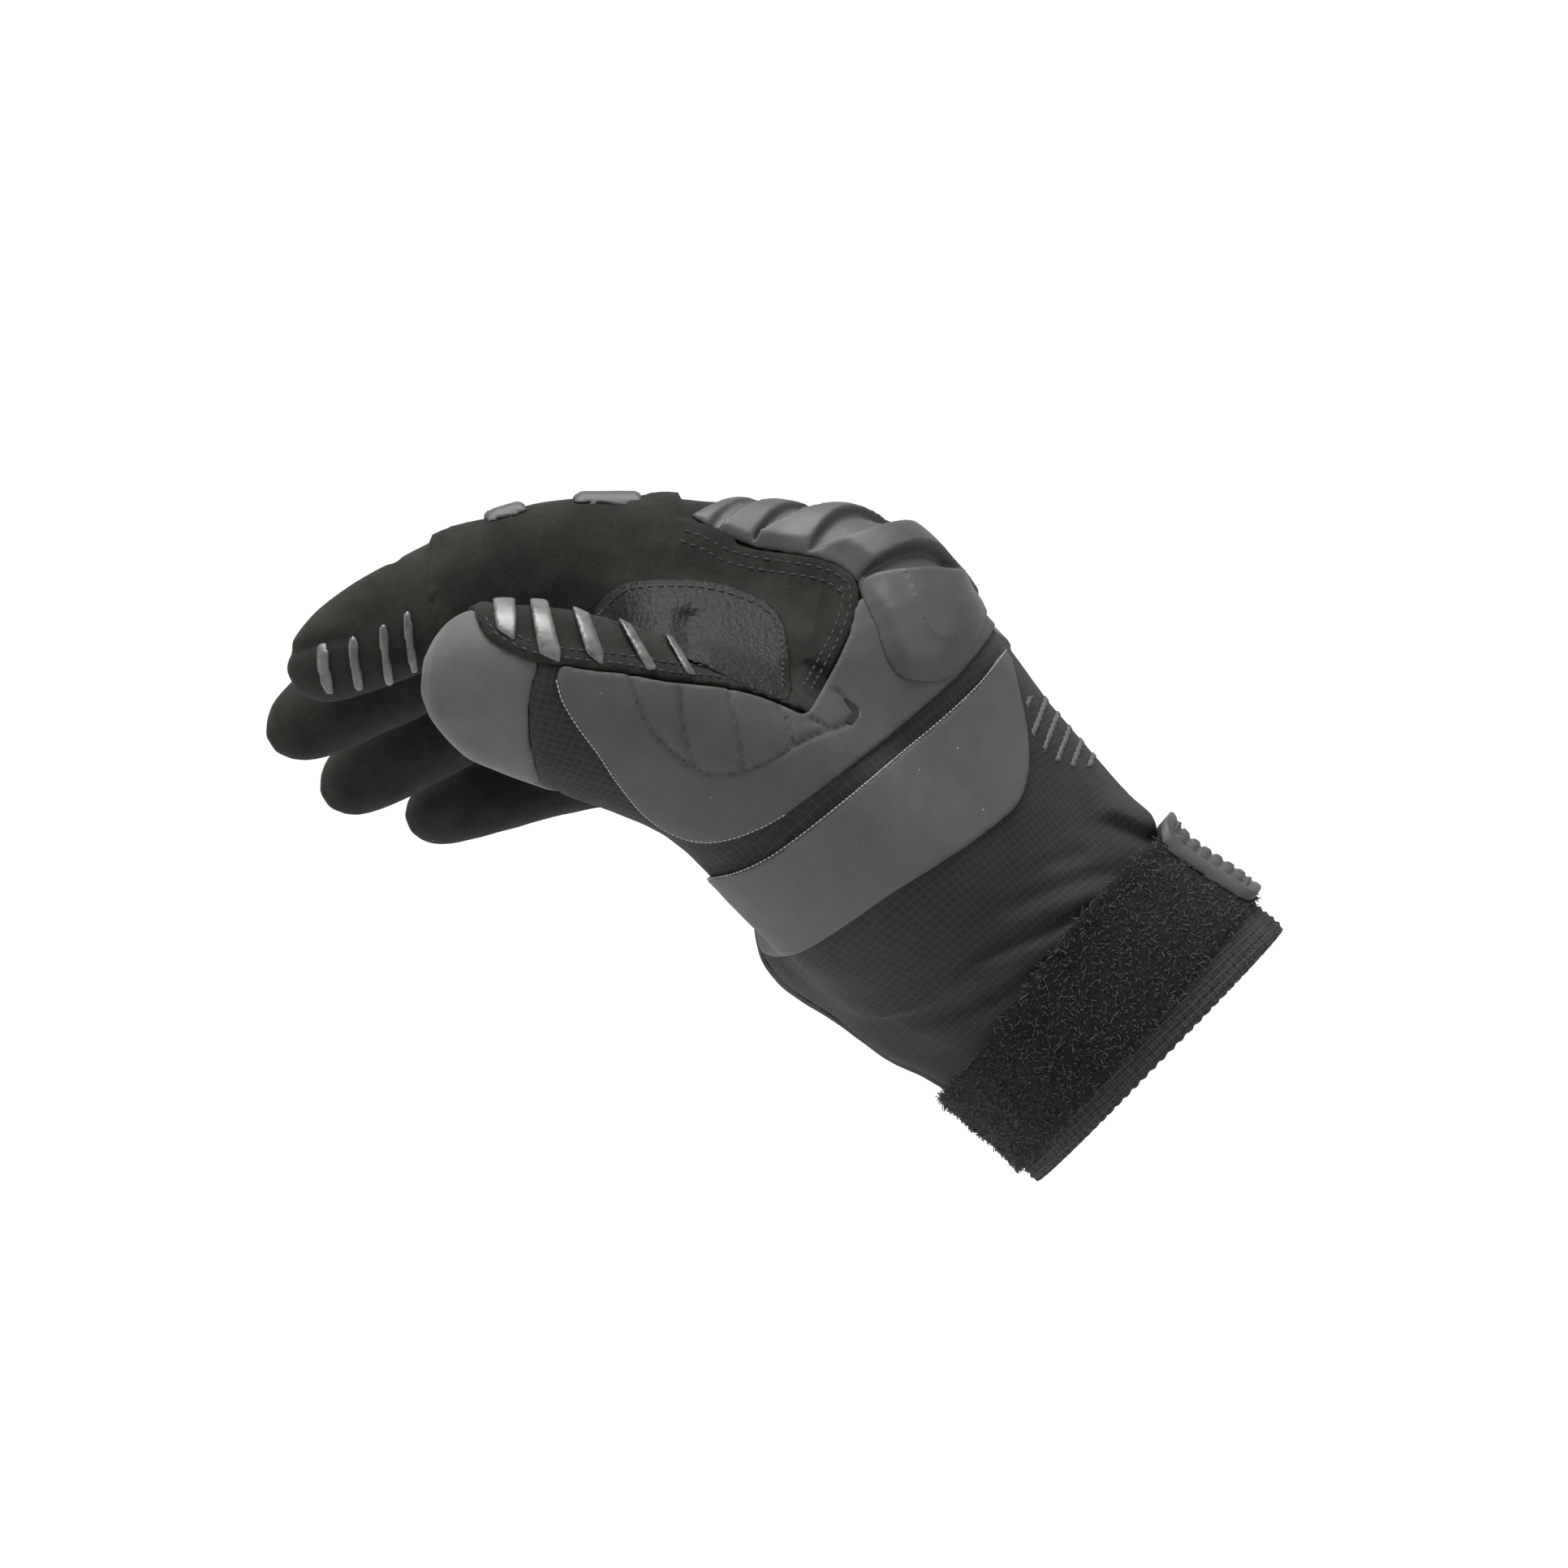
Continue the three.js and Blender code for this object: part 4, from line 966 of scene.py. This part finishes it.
def makeStrap():
    area = makeArea(*cuffBox, 0.7, (-1.8, 4.8), folded=False)
    hands = area["hand"]
    hem = hemPlace(hands)
    strapPlace = hem - strap["start"] - strap["slant"] * hands[:, 2]
    bow = strap["bow"] * np.maximum(0, 1 - (hands[:, 2] / 28) ** 2) * (hands[:, 1] > 0)
    edge = np.minimum(strapPlace, strap["width"] + bow - strapPlace)
    fuzz = 0.12 * ripples(hands, 2.4, 3) + 0.2 * ripples(hands, 14, 4)
    band = cutPiece("wrist_strap", area, strap["low"], strap["high"] + fuzz, edge, 0.9)
    addPiece(band, ["strap"], "loop", "loop_strap", {"flat": (0.022, 0.245), "on": ["back_cloth"]})
    return area


def makeBinding():
    area = makeArea(*cuffBox, 0.5, (-3.4, 6.2), folded=False)
    hands = area["hand"]
    hem = hemPlace(hands)
    strapPlace = hem - strap["start"] - strap["slant"] * hands[:, 2]
    around = np.arctan2(hands[:, 2], hands[:, 1]) * 34
    scallop = 0.22 * np.sin(around * 2 * np.pi / 2.3)
    ribs = bindingSize["ribHigh"] * np.cos(hem * 2 * np.pi / bindingSize["rib"])
    ribs += 0.2 * np.cos(around * 2 * np.pi / bindingSize["bead"]) * (1 - smoothStep(3.5, 5.0, hem))
    edge = np.minimum(hem + scallop, bindingSize["width"] - hem)
    knit = cutPiece("knit_binding", area, bindingSize["inside"], bindingSize["high"] + ribs, edge, 1.0)
    addPiece(knit, ["cuff_binding"], "ribbed", "ribbed_knit",
             {"flat": (0.0115, 0.23), "on": ["palm_suede", "back_cloth"]})
    layWeave(knit)

    along = strapPlace - tab["from"]
    length = tab["to"] - tab["from"]
    side = hands[:, 1] - tab["middle"]
    edge = np.minimum(np.minimum(along, length - along), tab["half"] - np.abs(side))
    edge = np.where(hands[:, 2] > 0, edge, farOutside)
    corner = np.hypot(np.maximum(np.abs(side) - tab["half"] + tab["corner"], 0),
                      np.maximum(np.abs(along - length / 2) - length / 2 + tab["corner"], 0))
    edge = np.minimum(edge, np.where(hands[:, 2] > 0, tab["corner"] - corner, farOutside))
    # raised blocks in staggered rows
    cell = np.stack([side / tab["blocks"][0], (along - length / 2) / tab["blocks"][1]])
    shift = np.where(np.floor(cell[1]) % 2 > 0, 0.5, 0)
    block = np.maximum(np.abs((cell[0] + shift) % 1 - 0.5), np.abs(cell[1] % 1 - 0.5))
    raised = smoothStep(0.4, 0.3, block) * (edge > tab["border"])
    high = tab["high"] + tab["raised"] * raised - 0.5 * smoothStep(1.7, 2.2, edge)
    pull = cutPiece("strap_tab", area, tab["low"], high, edge, 0.4)
    addPiece(pull, ["pull_tab"], "guard", "guard_rubber")


cuff = makeStrap()
makeBinding()
print("cuff cut")


# Materials
def setSocket(tree, socket, value):
    if isinstance(value, bpy.types.NodeSocket):
        tree.links.new(value, socket)
    else:
        socket.default_value = (*value, 1) if socket.type == "RGBA" else value


def addNode(tree, kind, inputs=None, **settings):
    node = tree.nodes.new(kind)
    for name, value in settings.items():
        setattr(node, name, value)
    for name, value in (inputs or {}).items():
        setSocket(tree, node.inputs[name], value)
    return node


def maths(tree, operation, a, b=0.0, clamp=False):
    return addNode(tree, "ShaderNodeMath", {0: a, 1: b}, operation=operation, use_clamp=clamp).outputs[0]


def ramp(tree, value, low, high, fromValue=0.0, toValue=1.0):
    inputs = {"Value": value, "From Min": low, "From Max": high, "To Min": fromValue, "To Max": toValue}
    return addNode(tree, "ShaderNodeMapRange", inputs).outputs["Result"]


def mixColour(tree, share, a, b):
    return addNode(tree, "ShaderNodeMix", {0: share, 6: a, 7: b}, data_type="RGBA").outputs[2]


def noise(tree, place, scale, detail, roughness=0.5, distortion=0.0):
    inputs = {"Vector": place, "Scale": scale, "Detail": detail, "Roughness": roughness,
              "Distortion": distortion}
    return addNode(tree, "ShaderNodeTexNoise", inputs).outputs["Fac"]


# Specks in the few cells whose chance is past a limit
def specks(tree, place, scale, size, limit):
    spots = addNode(tree, "ShaderNodeTexVoronoi", {"Vector": place, "Scale": scale}).outputs
    chance = addNode(tree, "ShaderNodeSeparateColor", {"Color": spots["Color"]}).outputs[0]
    near = maths(tree, "LESS_THAN", spots["Distance"], size)
    return maths(tree, "MULTIPLY", near, maths(tree, "GREATER_THAN", chance, limit))


def objectPlace(tree):
    return addNode(tree, "ShaderNodeTexCoord").outputs["Object"]


# A shared group: its inputs with their values, and a function that gives its outputs
def newGroup(name, inputs, build):
    group = bpy.data.node_groups.new(name, "ShaderNodeTree")
    for label, value in inputs.items():
        socket = group.interface.new_socket(name=label, in_out="INPUT", socket_type="NodeSocketFloat")
        socket.default_value = value
    results = build(group, group.nodes.new("NodeGroupInput").outputs)
    for label in results:
        group.interface.new_socket(name=label, in_out="OUTPUT", socket_type="NodeSocketFloat")
    leave = group.nodes.new("NodeGroupOutput").inputs
    for label, value in results.items():
        group.links.new(value, leave[label])
    return group


# Short fibres brushed about, with lint: nap for the height, shade for broad tone, lint for specks
def brushedNap(group, enter):
    place = objectPlace(group)
    fibres = maths(group, "DIVIDE", 1000.0, enter["Fibre size"])
    patches = maths(group, "DIVIDE", 1000.0, enter["Patch size"])
    return {"Nap": noise(group, place, fibres, 4.0, 0.65),
            "Shade": noise(group, place, patches, 5.0, 0.6, 0.4),
            "Lint": specks(group, place, 210.0, 0.055, 0.9)}


# A plain weave with a heavier thread every square, over the piece's weave map
def ripstopWeave(group, enter):
    flat = addNode(group, "ShaderNodeUVMap", uv_map="weave").outputs["UV"]
    wobble = maths(group, "MULTIPLY", noise(group, objectPlace(group), 160.0, 2.0), 0.35)
    parts = addNode(group, "ShaderNodeSeparateXYZ", {"Vector": flat}).outputs
    lines, threads = [], []
    for part in (parts[0], parts[1]):
        place = maths(group, "ADD", maths(group, "MULTIPLY", part, 1000.0), wobble)
        square = maths(group, "FRACT", maths(group, "DIVIDE", place, enter["Square"]))
        away = maths(group, "ABSOLUTE", maths(group, "SUBTRACT", square, 0.5))
        lines.append(ramp(group, away, 0.36, 0.46))
        wave = maths(group, "DIVIDE", maths(group, "MULTIPLY", place, 6.2832), enter["Thread"])
        threads.append(maths(group, "SINE", wave))
    line = maths(group, "MAXIMUM", *lines)
    weave = maths(group, "MULTIPLY", maths(group, "MULTIPLY", *threads), 0.25)
    return {"Height": maths(group, "ADD", weave, maths(group, "MULTIPLY", line, 0.6)), "Lines": line}


# Dust and rubbed spots for the moulded and coated faces
def dustAndWear(group, enter):
    place = objectPlace(group)
    dust = specks(group, place, 420.0, 0.09, 0.93)
    return {"Mottle": noise(group, place, 90.0, 6.0, 0.7),
            "Dust": maths(group, "MULTIPLY", dust, enter["Amount"]),
            "Grain": noise(group, place, 2600.0, 3.0)}


groups = {
    "nap": newGroup("brushed nap", {"Fibre size": 0.35, "Patch size": 9.0}, brushedNap),
    "ripstop": newGroup("ripstop weave", {"Square": 1.35, "Thread": 0.27}, ripstopWeave),
    "wear": newGroup("dust and rubbing", {"Amount": 0.5}, dustAndWear),
}


def useGroup(tree, name, inputs=None):
    return addNode(tree, "ShaderNodeGroup", inputs, node_tree=groups[name]).outputs


def newMaterial(name):
    material = bpy.data.materials.new(name)
    material.use_nodes = True
    return material, material.node_tree


# Sets the shader's values; the sheen is its weight, roughness and tint, the bump is a height, its
# strength and how many mm it stands for
def setShader(tree, colour, roughness, specular, sheen=(0.0, 0.5, (1, 1, 1)), bump=None):
    shader = tree.nodes["Principled BSDF"]
    values = {"Base Color": colour, "Roughness": roughness, "Specular IOR Level": specular,
              "Sheen Weight": sheen[0], "Sheen Roughness": sheen[1], "Sheen Tint": sheen[2]}
    if bump:
        inputs = {"Height": bump[0], "Strength": bump[1], "Distance": bump[2] / 1000}
        values["Normal"] = addNode(tree, "ShaderNodeBump", inputs).outputs["Normal"]
    for label, value in values.items():
        setSocket(tree, shader.inputs[label], value)


def suedeMaterial():
    look = {"dark": (0.0055, 0.0054, 0.0044), "light": (0.02, 0.0195, 0.0165), "lint": (0.1, 0.1, 0.09)}
    material, tree = newMaterial("black synthetic suede")
    nap = useGroup(tree, "nap", {"Fibre size": 0.4, "Patch size": 10.0})
    shade = ramp(tree, nap["Shade"], 0.35, 0.68, 0.0, 0.6)
    tone = maths(tree, "ADD", shade, ramp(tree, nap["Nap"], 0.35, 0.7, 0.0, 0.5), clamp=True)
    colour = mixColour(tree, nap["Lint"], mixColour(tree, tone, look["dark"], look["light"]), look["lint"])
    setShader(tree, colour, 0.95, 0.1, (0.04, 0.4, (0.9, 0.9, 0.85)), (nap["Nap"], 0.7, 0.35))
    return material


def ripstopMaterial():
    look = {"dark": (0.0095, 0.0095, 0.0098), "light": (0.0165, 0.0165, 0.017),
            "thread": (0.028, 0.028, 0.029)}
    material, tree = newMaterial("black ripstop")
    weave = useGroup(tree, "ripstop")
    nap = useGroup(tree, "nap", {"Fibre size": 0.5, "Patch size": 14.0})
    colour = mixColour(tree, ramp(tree, nap["Shade"], 0.3, 0.7), look["dark"], look["light"])
    colour = mixColour(tree, maths(tree, "MULTIPLY", weave["Lines"], 0.5), colour, look["thread"])
    setShader(tree, colour, 0.82, 0.12, (0.03, 0.5, (1, 1, 1)), (weave["Height"], 0.7, 0.16))
    return material


def coatedMaterial(name, dark, light, speck, dust):
    material, tree = newMaterial(name)
    wear = useGroup(tree, "wear", {"Amount": dust})
    mottle = ramp(tree, wear["Mottle"], 0.3, 0.72, 0.0, 0.75)
    tone = maths(tree, "ADD", mottle, ramp(tree, wear["Grain"], 0.3, 0.7, 0.0, 0.35), clamp=True)
    colour = mixColour(tree, wear["Dust"], mixColour(tree, tone, dark, light), speck)
    roughness = ramp(tree, wear["Mottle"], 0.3, 0.7, 0.62, 0.74)
    setShader(tree, colour, roughness, 0.2, bump=(wear["Grain"], 0.45, 0.12))
    return material


def guardMaterial():
    look = {"dark": (0.029, 0.029, 0.03), "light": (0.041, 0.041, 0.042), "dust": (0.13, 0.13, 0.13)}
    material, tree = newMaterial("satin grey rubber")
    wear = useGroup(tree, "wear", {"Amount": 0.35})
    colour = mixColour(tree, ramp(tree, wear["Mottle"], 0.3, 0.7), look["dark"], look["light"])
    colour = mixColour(tree, wear["Dust"], colour, look["dust"])
    roughness = ramp(tree, wear["Mottle"], 0.3, 0.7, 0.5, 0.6)
    setShader(tree, colour, roughness, 0.3, bump=(wear["Grain"], 0.2, 0.06))
    return material


def knitMaterial():
    look = {"dark": (0.045, 0.045, 0.045), "light": (0.064, 0.064, 0.063)}
    material, tree = newMaterial("grey stretch knit")
    nap = useGroup(tree, "nap", {"Fibre size": 0.6, "Patch size": 12.0})
    weave = useGroup(tree, "ripstop", {"Square": 0.5, "Thread": 0.5})
    colour = mixColour(tree, ramp(tree, nap["Shade"], 0.3, 0.7), look["dark"], look["light"])
    setShader(tree, colour, 0.78, 0.2, (0.12, 0.35, (1, 1, 1)), (weave["Height"], 0.25, 0.08))
    return material


def grainedMaterial():
    look = {"dark": (0.002, 0.002, 0.0021), "light": (0.009, 0.009, 0.0088)}
    material, tree = newMaterial("pebbled black patch")
    place = objectPlace(tree)
    pebbles = addNode(tree, "ShaderNodeTexVoronoi", {"Vector": place, "Scale": 1150.0}, feature="SMOOTH_F1")
    grain = noise(tree, place, 1500.0, 4.0, 0.7)
    height = maths(tree, "ADD", maths(tree, "MULTIPLY", pebbles.outputs["Distance"], -0.8), grain)
    colour = mixColour(tree, ramp(tree, height, -0.2, 0.5), look["dark"], look["light"])
    setShader(tree, colour, ramp(tree, grain, 0.3, 0.7, 0.34, 0.6), 0.22, bump=(height, 1.0, 0.4))
    return material


def siliconeMaterial():
    look = {"dark": (0.03, 0.03, 0.028), "light": (0.075, 0.075, 0.073)}
    material, tree = newMaterial("grey silicone print")
    streaks = noise(tree, objectPlace(tree), 320.0, 4.0, distortion=1.0)
    colour = mixColour(tree, ramp(tree, streaks, 0.32, 0.68), look["dark"], look["light"])
    setShader(tree, colour, 0.42, 0.5, bump=(streaks, 0.3, 0.15))
    return material


def loopMaterial():
    look = {"dark": (0.0025, 0.0025, 0.0027), "light": (0.011, 0.011, 0.0115)}
    material, tree = newMaterial("loop pile")
    tufts = noise(tree, objectPlace(tree), 900.0, 5.0, 0.7, 1.6)
    colour = mixColour(tree, ramp(tree, tufts, 0.36, 0.66), look["dark"], look["light"])
    setShader(tree, colour, 0.9, 0.08, (0.02, 0.5, (1, 1, 1)), (tufts, 1.0, 0.6))
    return material


def ribbedMaterial():
    look = {"dark": (0.006, 0.006, 0.0063), "light": (0.045, 0.045, 0.046)}
    material, tree = newMaterial("ribbed knit")
    weave = useGroup(tree, "ripstop", {"Square": 0.75, "Thread": 0.75})
    nap = useGroup(tree, "nap", {"Fibre size": 0.5, "Patch size": 5.0})
    tone = maths(tree, "MULTIPLY", weave["Lines"], 0.6)
    tone = maths(tree, "ADD", tone, ramp(tree, nap["Nap"], 0.3, 0.7, 0.0, 0.4))
    colour = mixColour(tree, tone, look["dark"], look["light"])
    setShader(tree, colour, 0.88, 0.15, (0.05, 0.5, (1, 1, 1)), (weave["Height"], 0.9, 0.3))
    return material


def threadMaterial(name, light):
    material, tree = newMaterial(name)
    tone = ramp(tree, noise(tree, objectPlace(tree), 2400.0, 2.0), 0.3, 0.7)
    setShader(tree, mixColour(tree, tone, tuple(c * 0.6 for c in light), light), 0.7, 0.3)
    return material


panelLooks = {  # dark, light and dust colours, and how much dust
    "embossed grey panel": ((0.03, 0.03, 0.03), (0.045, 0.045, 0.0445), (0.18, 0.18, 0.18), 0.3),
    "grey band panel": ((0.041, 0.041, 0.04), (0.058, 0.058, 0.0565), (0.22, 0.22, 0.21), 0.6),
}
looks = {
    "suede": suedeMaterial(),
    "ripstop": ripstopMaterial(),
    "coated": coatedMaterial("embossed grey panel", *panelLooks["embossed grey panel"]),
    "coatedBand": coatedMaterial("grey band panel", *panelLooks["grey band panel"]),
    "guard": guardMaterial(),
    "knit": knitMaterial(),
    "grained": grainedMaterial(),
    "silicone": siliconeMaterial(),
    "loop": loopMaterial(),
    "ribbed": ribbedMaterial(),
    "thread": threadMaterial("black thread", (0.015, 0.015, 0.0135)),
    "fibre": threadMaterial("loose fibre", (0.05, 0.05, 0.051)),
    "paleFibre": threadMaterial("frayed fibre", (0.25, 0.25, 0.24)),
    "print": threadMaterial("grey print", (0.07, 0.07, 0.07)),
}
print("materials made")


# Geometry Nodes: a new tree with its inputs, their socket identifiers and where they enter
def newTree(name, values):
    tree = bpy.data.node_groups.new(name, "GeometryNodeTree")
    tree.interface.new_socket(name="Geometry", in_out="INPUT", socket_type="NodeSocketGeometry")
    names = {}
    for label, (kind, value) in values.items():
        socket = tree.interface.new_socket(name=label, in_out="INPUT", socket_type="NodeSocket" + kind)
        if value is not None:
            socket.default_value = value
        names[label] = socket.identifier
    tree.interface.new_socket(name="Geometry", in_out="OUTPUT", socket_type="NodeSocketGeometry")
    return tree, names, tree.nodes.new("NodeGroupInput").outputs


def finishTree(tree, placed, look):
    real = addNode(tree, "GeometryNodeRealizeInstances", {"Geometry": placed.outputs["Instances"]}).outputs
    finish = addNode(tree, "GeometryNodeSetMaterial", {"Geometry": real["Geometry"], "Material": look})
    tree.links.new(finish.outputs["Geometry"], tree.nodes.new("NodeGroupOutput").inputs["Geometry"])


# Beads in a row along a line
def stitchTree():
    tree, names, enter = newTree("stitch row", {"Pitch": ("Float", 0.002), "Length": ("Float", 0.0015),
                                                "Width": ("Float", 0.0004), "Look": ("Material", None)})
    row = addNode(tree, "GeometryNodeCurveToPoints", {"Curve": enter["Geometry"], "Length": enter["Pitch"]},
                  mode="LENGTH").outputs
    bead = addNode(tree, "GeometryNodeMeshUVSphere", {"Segments": 8, "Rings": 5, "Radius": 0.5})
    width = enter["Width"]
    size = addNode(tree, "ShaderNodeCombineXYZ", {"X": width, "Y": width, "Z": enter["Length"]})
    placed = addNode(tree, "GeometryNodeInstanceOnPoints",
                     {"Points": row["Points"], "Instance": bead.outputs["Mesh"], "Rotation": row["Rotation"],
                      "Scale": size.outputs["Vector"]})
    finishTree(tree, placed, enter["Look"])
    return tree, names


# Loose loops standing on a surface
def pileTree():
    tree, names, enter = newTree("loop pile", {"Density": ("Float", 2e6), "Size": ("Float", 0.0012),
                                               "Thickness": ("Float", 0.00006), "Seed": ("Int", 3),
                                               "Look": ("Material", None)})
    points = addNode(tree, "GeometryNodeDistributePointsOnFaces",
                     {"Mesh": enter["Geometry"], "Density": enter["Density"], "Seed": enter["Seed"]}).outputs
    arc = addNode(tree, "GeometryNodeCurveQuadraticBezier",
                  {"Resolution": 2, "Start": (-0.5, 0, -0.02), "Middle": (0.1, 0.45, 0.42),
                   "End": (0.45, -0.1, -0.02)})
    # the loop is one unit long before it is sized, so its profile is sized the other way
    profile = addNode(tree, "GeometryNodeCurvePrimitiveCircle",
                      {"Resolution": 3, "Radius": enter["Thickness"]})
    stretch = maths(tree, "DIVIDE", 1.0, enter["Size"])
    scaled = addNode(tree, "GeometryNodeTransform", {"Geometry": profile.outputs["Curve"], "Scale": stretch})
    loop = addNode(tree, "GeometryNodeCurveToMesh",
                   {"Curve": arc.outputs["Curve"], "Profile Curve": scaled.outputs["Geometry"]})
    spin = addNode(tree, "FunctionNodeRandomValue", {0: (-0.35, -0.35, 0), 1: (0.35, 0.35, 6.283), "Seed": 7},
                   data_type="FLOAT_VECTOR")
    turned = addNode(tree, "FunctionNodeRotateRotation",
                     {"Rotation": points["Rotation"], "Rotate By": spin.outputs[0]}, rotation_space="LOCAL")
    vary = addNode(tree, "FunctionNodeRandomValue", {2: 0.6, 3: 1.5, "Seed": 9}, data_type="FLOAT")
    placed = addNode(tree, "GeometryNodeInstanceOnPoints",
                     {"Points": points["Points"], "Instance": loop.outputs["Mesh"],
                      "Rotation": turned.outputs[0],
                      "Scale": maths(tree, "MULTIPLY", vary.outputs[1], enter["Size"])})
    finishTree(tree, placed, enter["Look"])
    return tree, names


trees = {"stitches": stitchTree(), "pile": pileTree()}


# Runs a tree on an object and gives its result as a plain mesh
def grow(name, source, treeName, values):
    tree, names = trees[treeName]
    modifier = source.modifiers.new(treeName, "NODES")
    modifier.node_group = tree
    for label, value in values.items():
        modifier[names[label]] = value
    evaluated = source.evaluated_get(bpy.context.evaluated_depsgraph_get())
    mesh = bpy.data.meshes.new_from_object(evaluated)
    source.modifiers.remove(modifier)
    obj = bpy.data.objects.new(name, mesh)
    mesh.name = name
    mesh.polygons.foreach_set("use_smooth", np.ones(len(mesh.polygons), bool))
    bpy.context.collection.objects.link(obj)
    return obj


def lineObject(name, lines):
    curve = bpy.data.curves.new(name, "CURVE")
    curve.dimensions = "3D"
    for line in [part for row in lines for part in row]:
        spline = curve.splines.new("POLY")
        spline.points.add(len(line) - 1)
        spline.points.foreach_set("co", np.column_stack([line / 1000, np.ones(len(line))]).ravel())
    obj = bpy.data.objects.new(name, curve)
    bpy.context.collection.objects.link(obj)
    return obj


# A row beside an outline of the picture, moved over by so many pixels and laid on the skin. It is
# cut where it would jump from one digit to another behind it.
def rowOnSkin(area, line, shift, height):
    line = smoothLine(line, steps=8)
    along = np.gradient(line, axis=0)
    along /= np.linalg.norm(along, axis=1)[:, None]
    moved = line + np.column_stack([-along[:, 1], along[:, 0]]) * shift
    row = onSkin(area, moved, height, foundOnly=True)
    jumps = np.flatnonzero(np.linalg.norm(np.diff(row, axis=0), axis=1) > 6) + 1
    return [part for part in np.split(row, jumps) if len(part) > 1]


seams = {
    "cornerTop": [(850, 645), (876, 655), (900, 668), (933, 677), (1000, 687), (1030, 696), (1048, 708)],
    "cornerSide": [(1056, 724), (1057, 745), (1046, 780), (1028, 816), (1008, 852)],
    "thumb": [(592, 768), (604, 786), (624, 799), (652, 811), (680, 817), (720, 822), (768, 827), (820, 836),
              (880, 842), (912, 848), (940, 856), (966, 866)],
    "patch": [(733, 752), (760, 726), (784, 717), (840, 715), (880, 719), (920, 731), (952, 749), (966, 772),
              (971, 804), (971, 845)],
}
seamRows = [  # area, seam, pixels beside it, mm over the skin
    (cloth, "cornerTop", 10, 1.3), (cloth, "cornerTop", 24, 1.1), (cloth, "cornerSide", 9, 1.3),
    (cloth, "cornerSide", 19, 1.15), (tipArea, "thumb", -9, 0.95), (tipArea, "thumb", -20, 0.6),
    (fine, "patch", 7, 1.2),
]
threadSizes = {"stitch": {"Pitch": 1.9, "Length": 1.35, "Width": 0.5},
               "fray": {"Pitch": 0.9, "Length": 0.8, "Width": 0.3}}


def sew(name, rows, sizes, look, slot):
    source = lineObject("sewing_lines", rows)
    values = {label: size / 1000 for label, size in sizes.items()}
    sewn = grow(name, source, "stitches", {**values, "Look": looks[look]})
    bpy.data.objects.remove(source)
    addPiece(sewn, [], None, slot)


def makeStitches():
    rows = [rowOnSkin(area, seams[seam], shift, height) for area, seam, shift, height in seamRows]
    sew("stitch_rows", rows, threadSizes["stitch"], "thread", "suede")
    # pale threads along the cut edges beside the dark stripe
    edges = [rowOnSkin(fineBand, outlines["band"][:10], 0, 1.0),
             rowOnSkin(fine, outlines["sidePanel"][20:34], 0, 0.9)]
    sew("frayed_edge", edges, threadSizes["fray"], "paleFibre", "coated_cloth")


# The part of a piece that stands more than so many mm over the skin
def outerFace(name, obj, area, past):
    points, corners = readMesh(obj)
    quads = corners.reshape(-1, 4)
    outside = area["whole"][nearestCells(area, points)] > past
    return meshObject(name, points, quads[outside[quads].all(1)][:, ::-1])


pile = {"Density": 1.7e6, "Size": 0.0028, "Thickness": 0.00008}


def makePile():
    source = outerFace("pile_base", pieces["wrist_strap"]["obj"], cuff, 1.5)
    loops = grow("strap_loops", source, "pile", {**pile, "Look": looks["fibre"]})
    bpy.data.objects.remove(source)
    addPiece(loops, [], None, "loop_strap")


makeStitches()
makePile()
print("stitches and pile made")

for piece in pieces.values():
    obj = piece["obj"]
    if piece["look"]:
        obj.data.materials.append(looks[piece["look"]])
    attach(obj, "root")
    if piece["nodes"]:
        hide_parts(*piece["nodes"])

# Floor, light and camera
studio = {"floor": -260.0, "back": 900.0, "bend": 400.0, "world": 0.6}


def makeStage():
    profile = [(-3000, 0), (studio["back"], 0)]
    for i in range(1, 13):
        angle = i / 12 * math.pi / 2
        across, rise = studio["bend"] * math.sin(angle), studio["bend"] * (1 - math.cos(angle))
        profile.append((studio["back"] + across, rise))
    profile.append((studio["back"] + studio["bend"], 3000))
    points = [(x, y, z + studio["floor"]) for x in (-3500, 3500) for y, z in profile]
    count = len(profile)
    faces = np.array([(i, i + count, i + count + 1, i + 1) for i in range(count - 1)])
    floor = meshObject("studio_floor", np.array(points, float), faces)
    paper, tree = newMaterial("pale paper")
    setShader(tree, (0.9, 0.9, 0.9), 0.9, 0.5)
    floor.data.materials.append(paper)


def areaLight(name, place, size, power, target=(-70, 0, 40)):
    data = bpy.data.lights.new(name, "AREA")
    data.shape = "RECTANGLE"
    data.size, data.size_y = (s / 1000 for s in size)
    data.energy = power
    light = bpy.data.objects.new(name, data)
    light.location = Vector(place) / 1000
    light.rotation_euler = (Vector(target) - Vector(place)).to_track_quat("-Z", "Y").to_euler()
    bpy.context.collection.objects.link(light)


lights = {  # place and size in mm, and power in watts
    "top light": ((-150, -150, 800), (600, 500), 15),
    "left light": ((-800, -500, 250), (500, 700), 4),
    "right light": ((700, -700, 300), (500, 700), 3),
}
makeStage()
for name, (place, size, power) in lights.items():
    areaLight(name, place, size, power)
world = bpy.data.worlds.new("studio")
world.use_nodes = True
world.node_tree.nodes["Background"].inputs["Color"].default_value = (1, 1, 1, 1)
world.node_tree.nodes["Background"].inputs["Strength"].default_value = studio["world"]
bpy.context.scene.world = world
bpy.context.scene.view_settings.view_transform = "Standard"

camera = bpy.data.cameras.new("camera")
camera.lens = view["focal"]
camera.sensor_width = view["sensor"]
camera.clip_start = 0.05
camera.clip_end = 20
cameraObject = bpy.data.objects.new("camera", camera)
cameraObject.location = Vector(view["place"]) / 1000
cameraObject.rotation_euler = (math.pi / 2, 0, 0)
bpy.context.collection.objects.link(cameraObject)
bpy.context.scene.camera = cameraObject
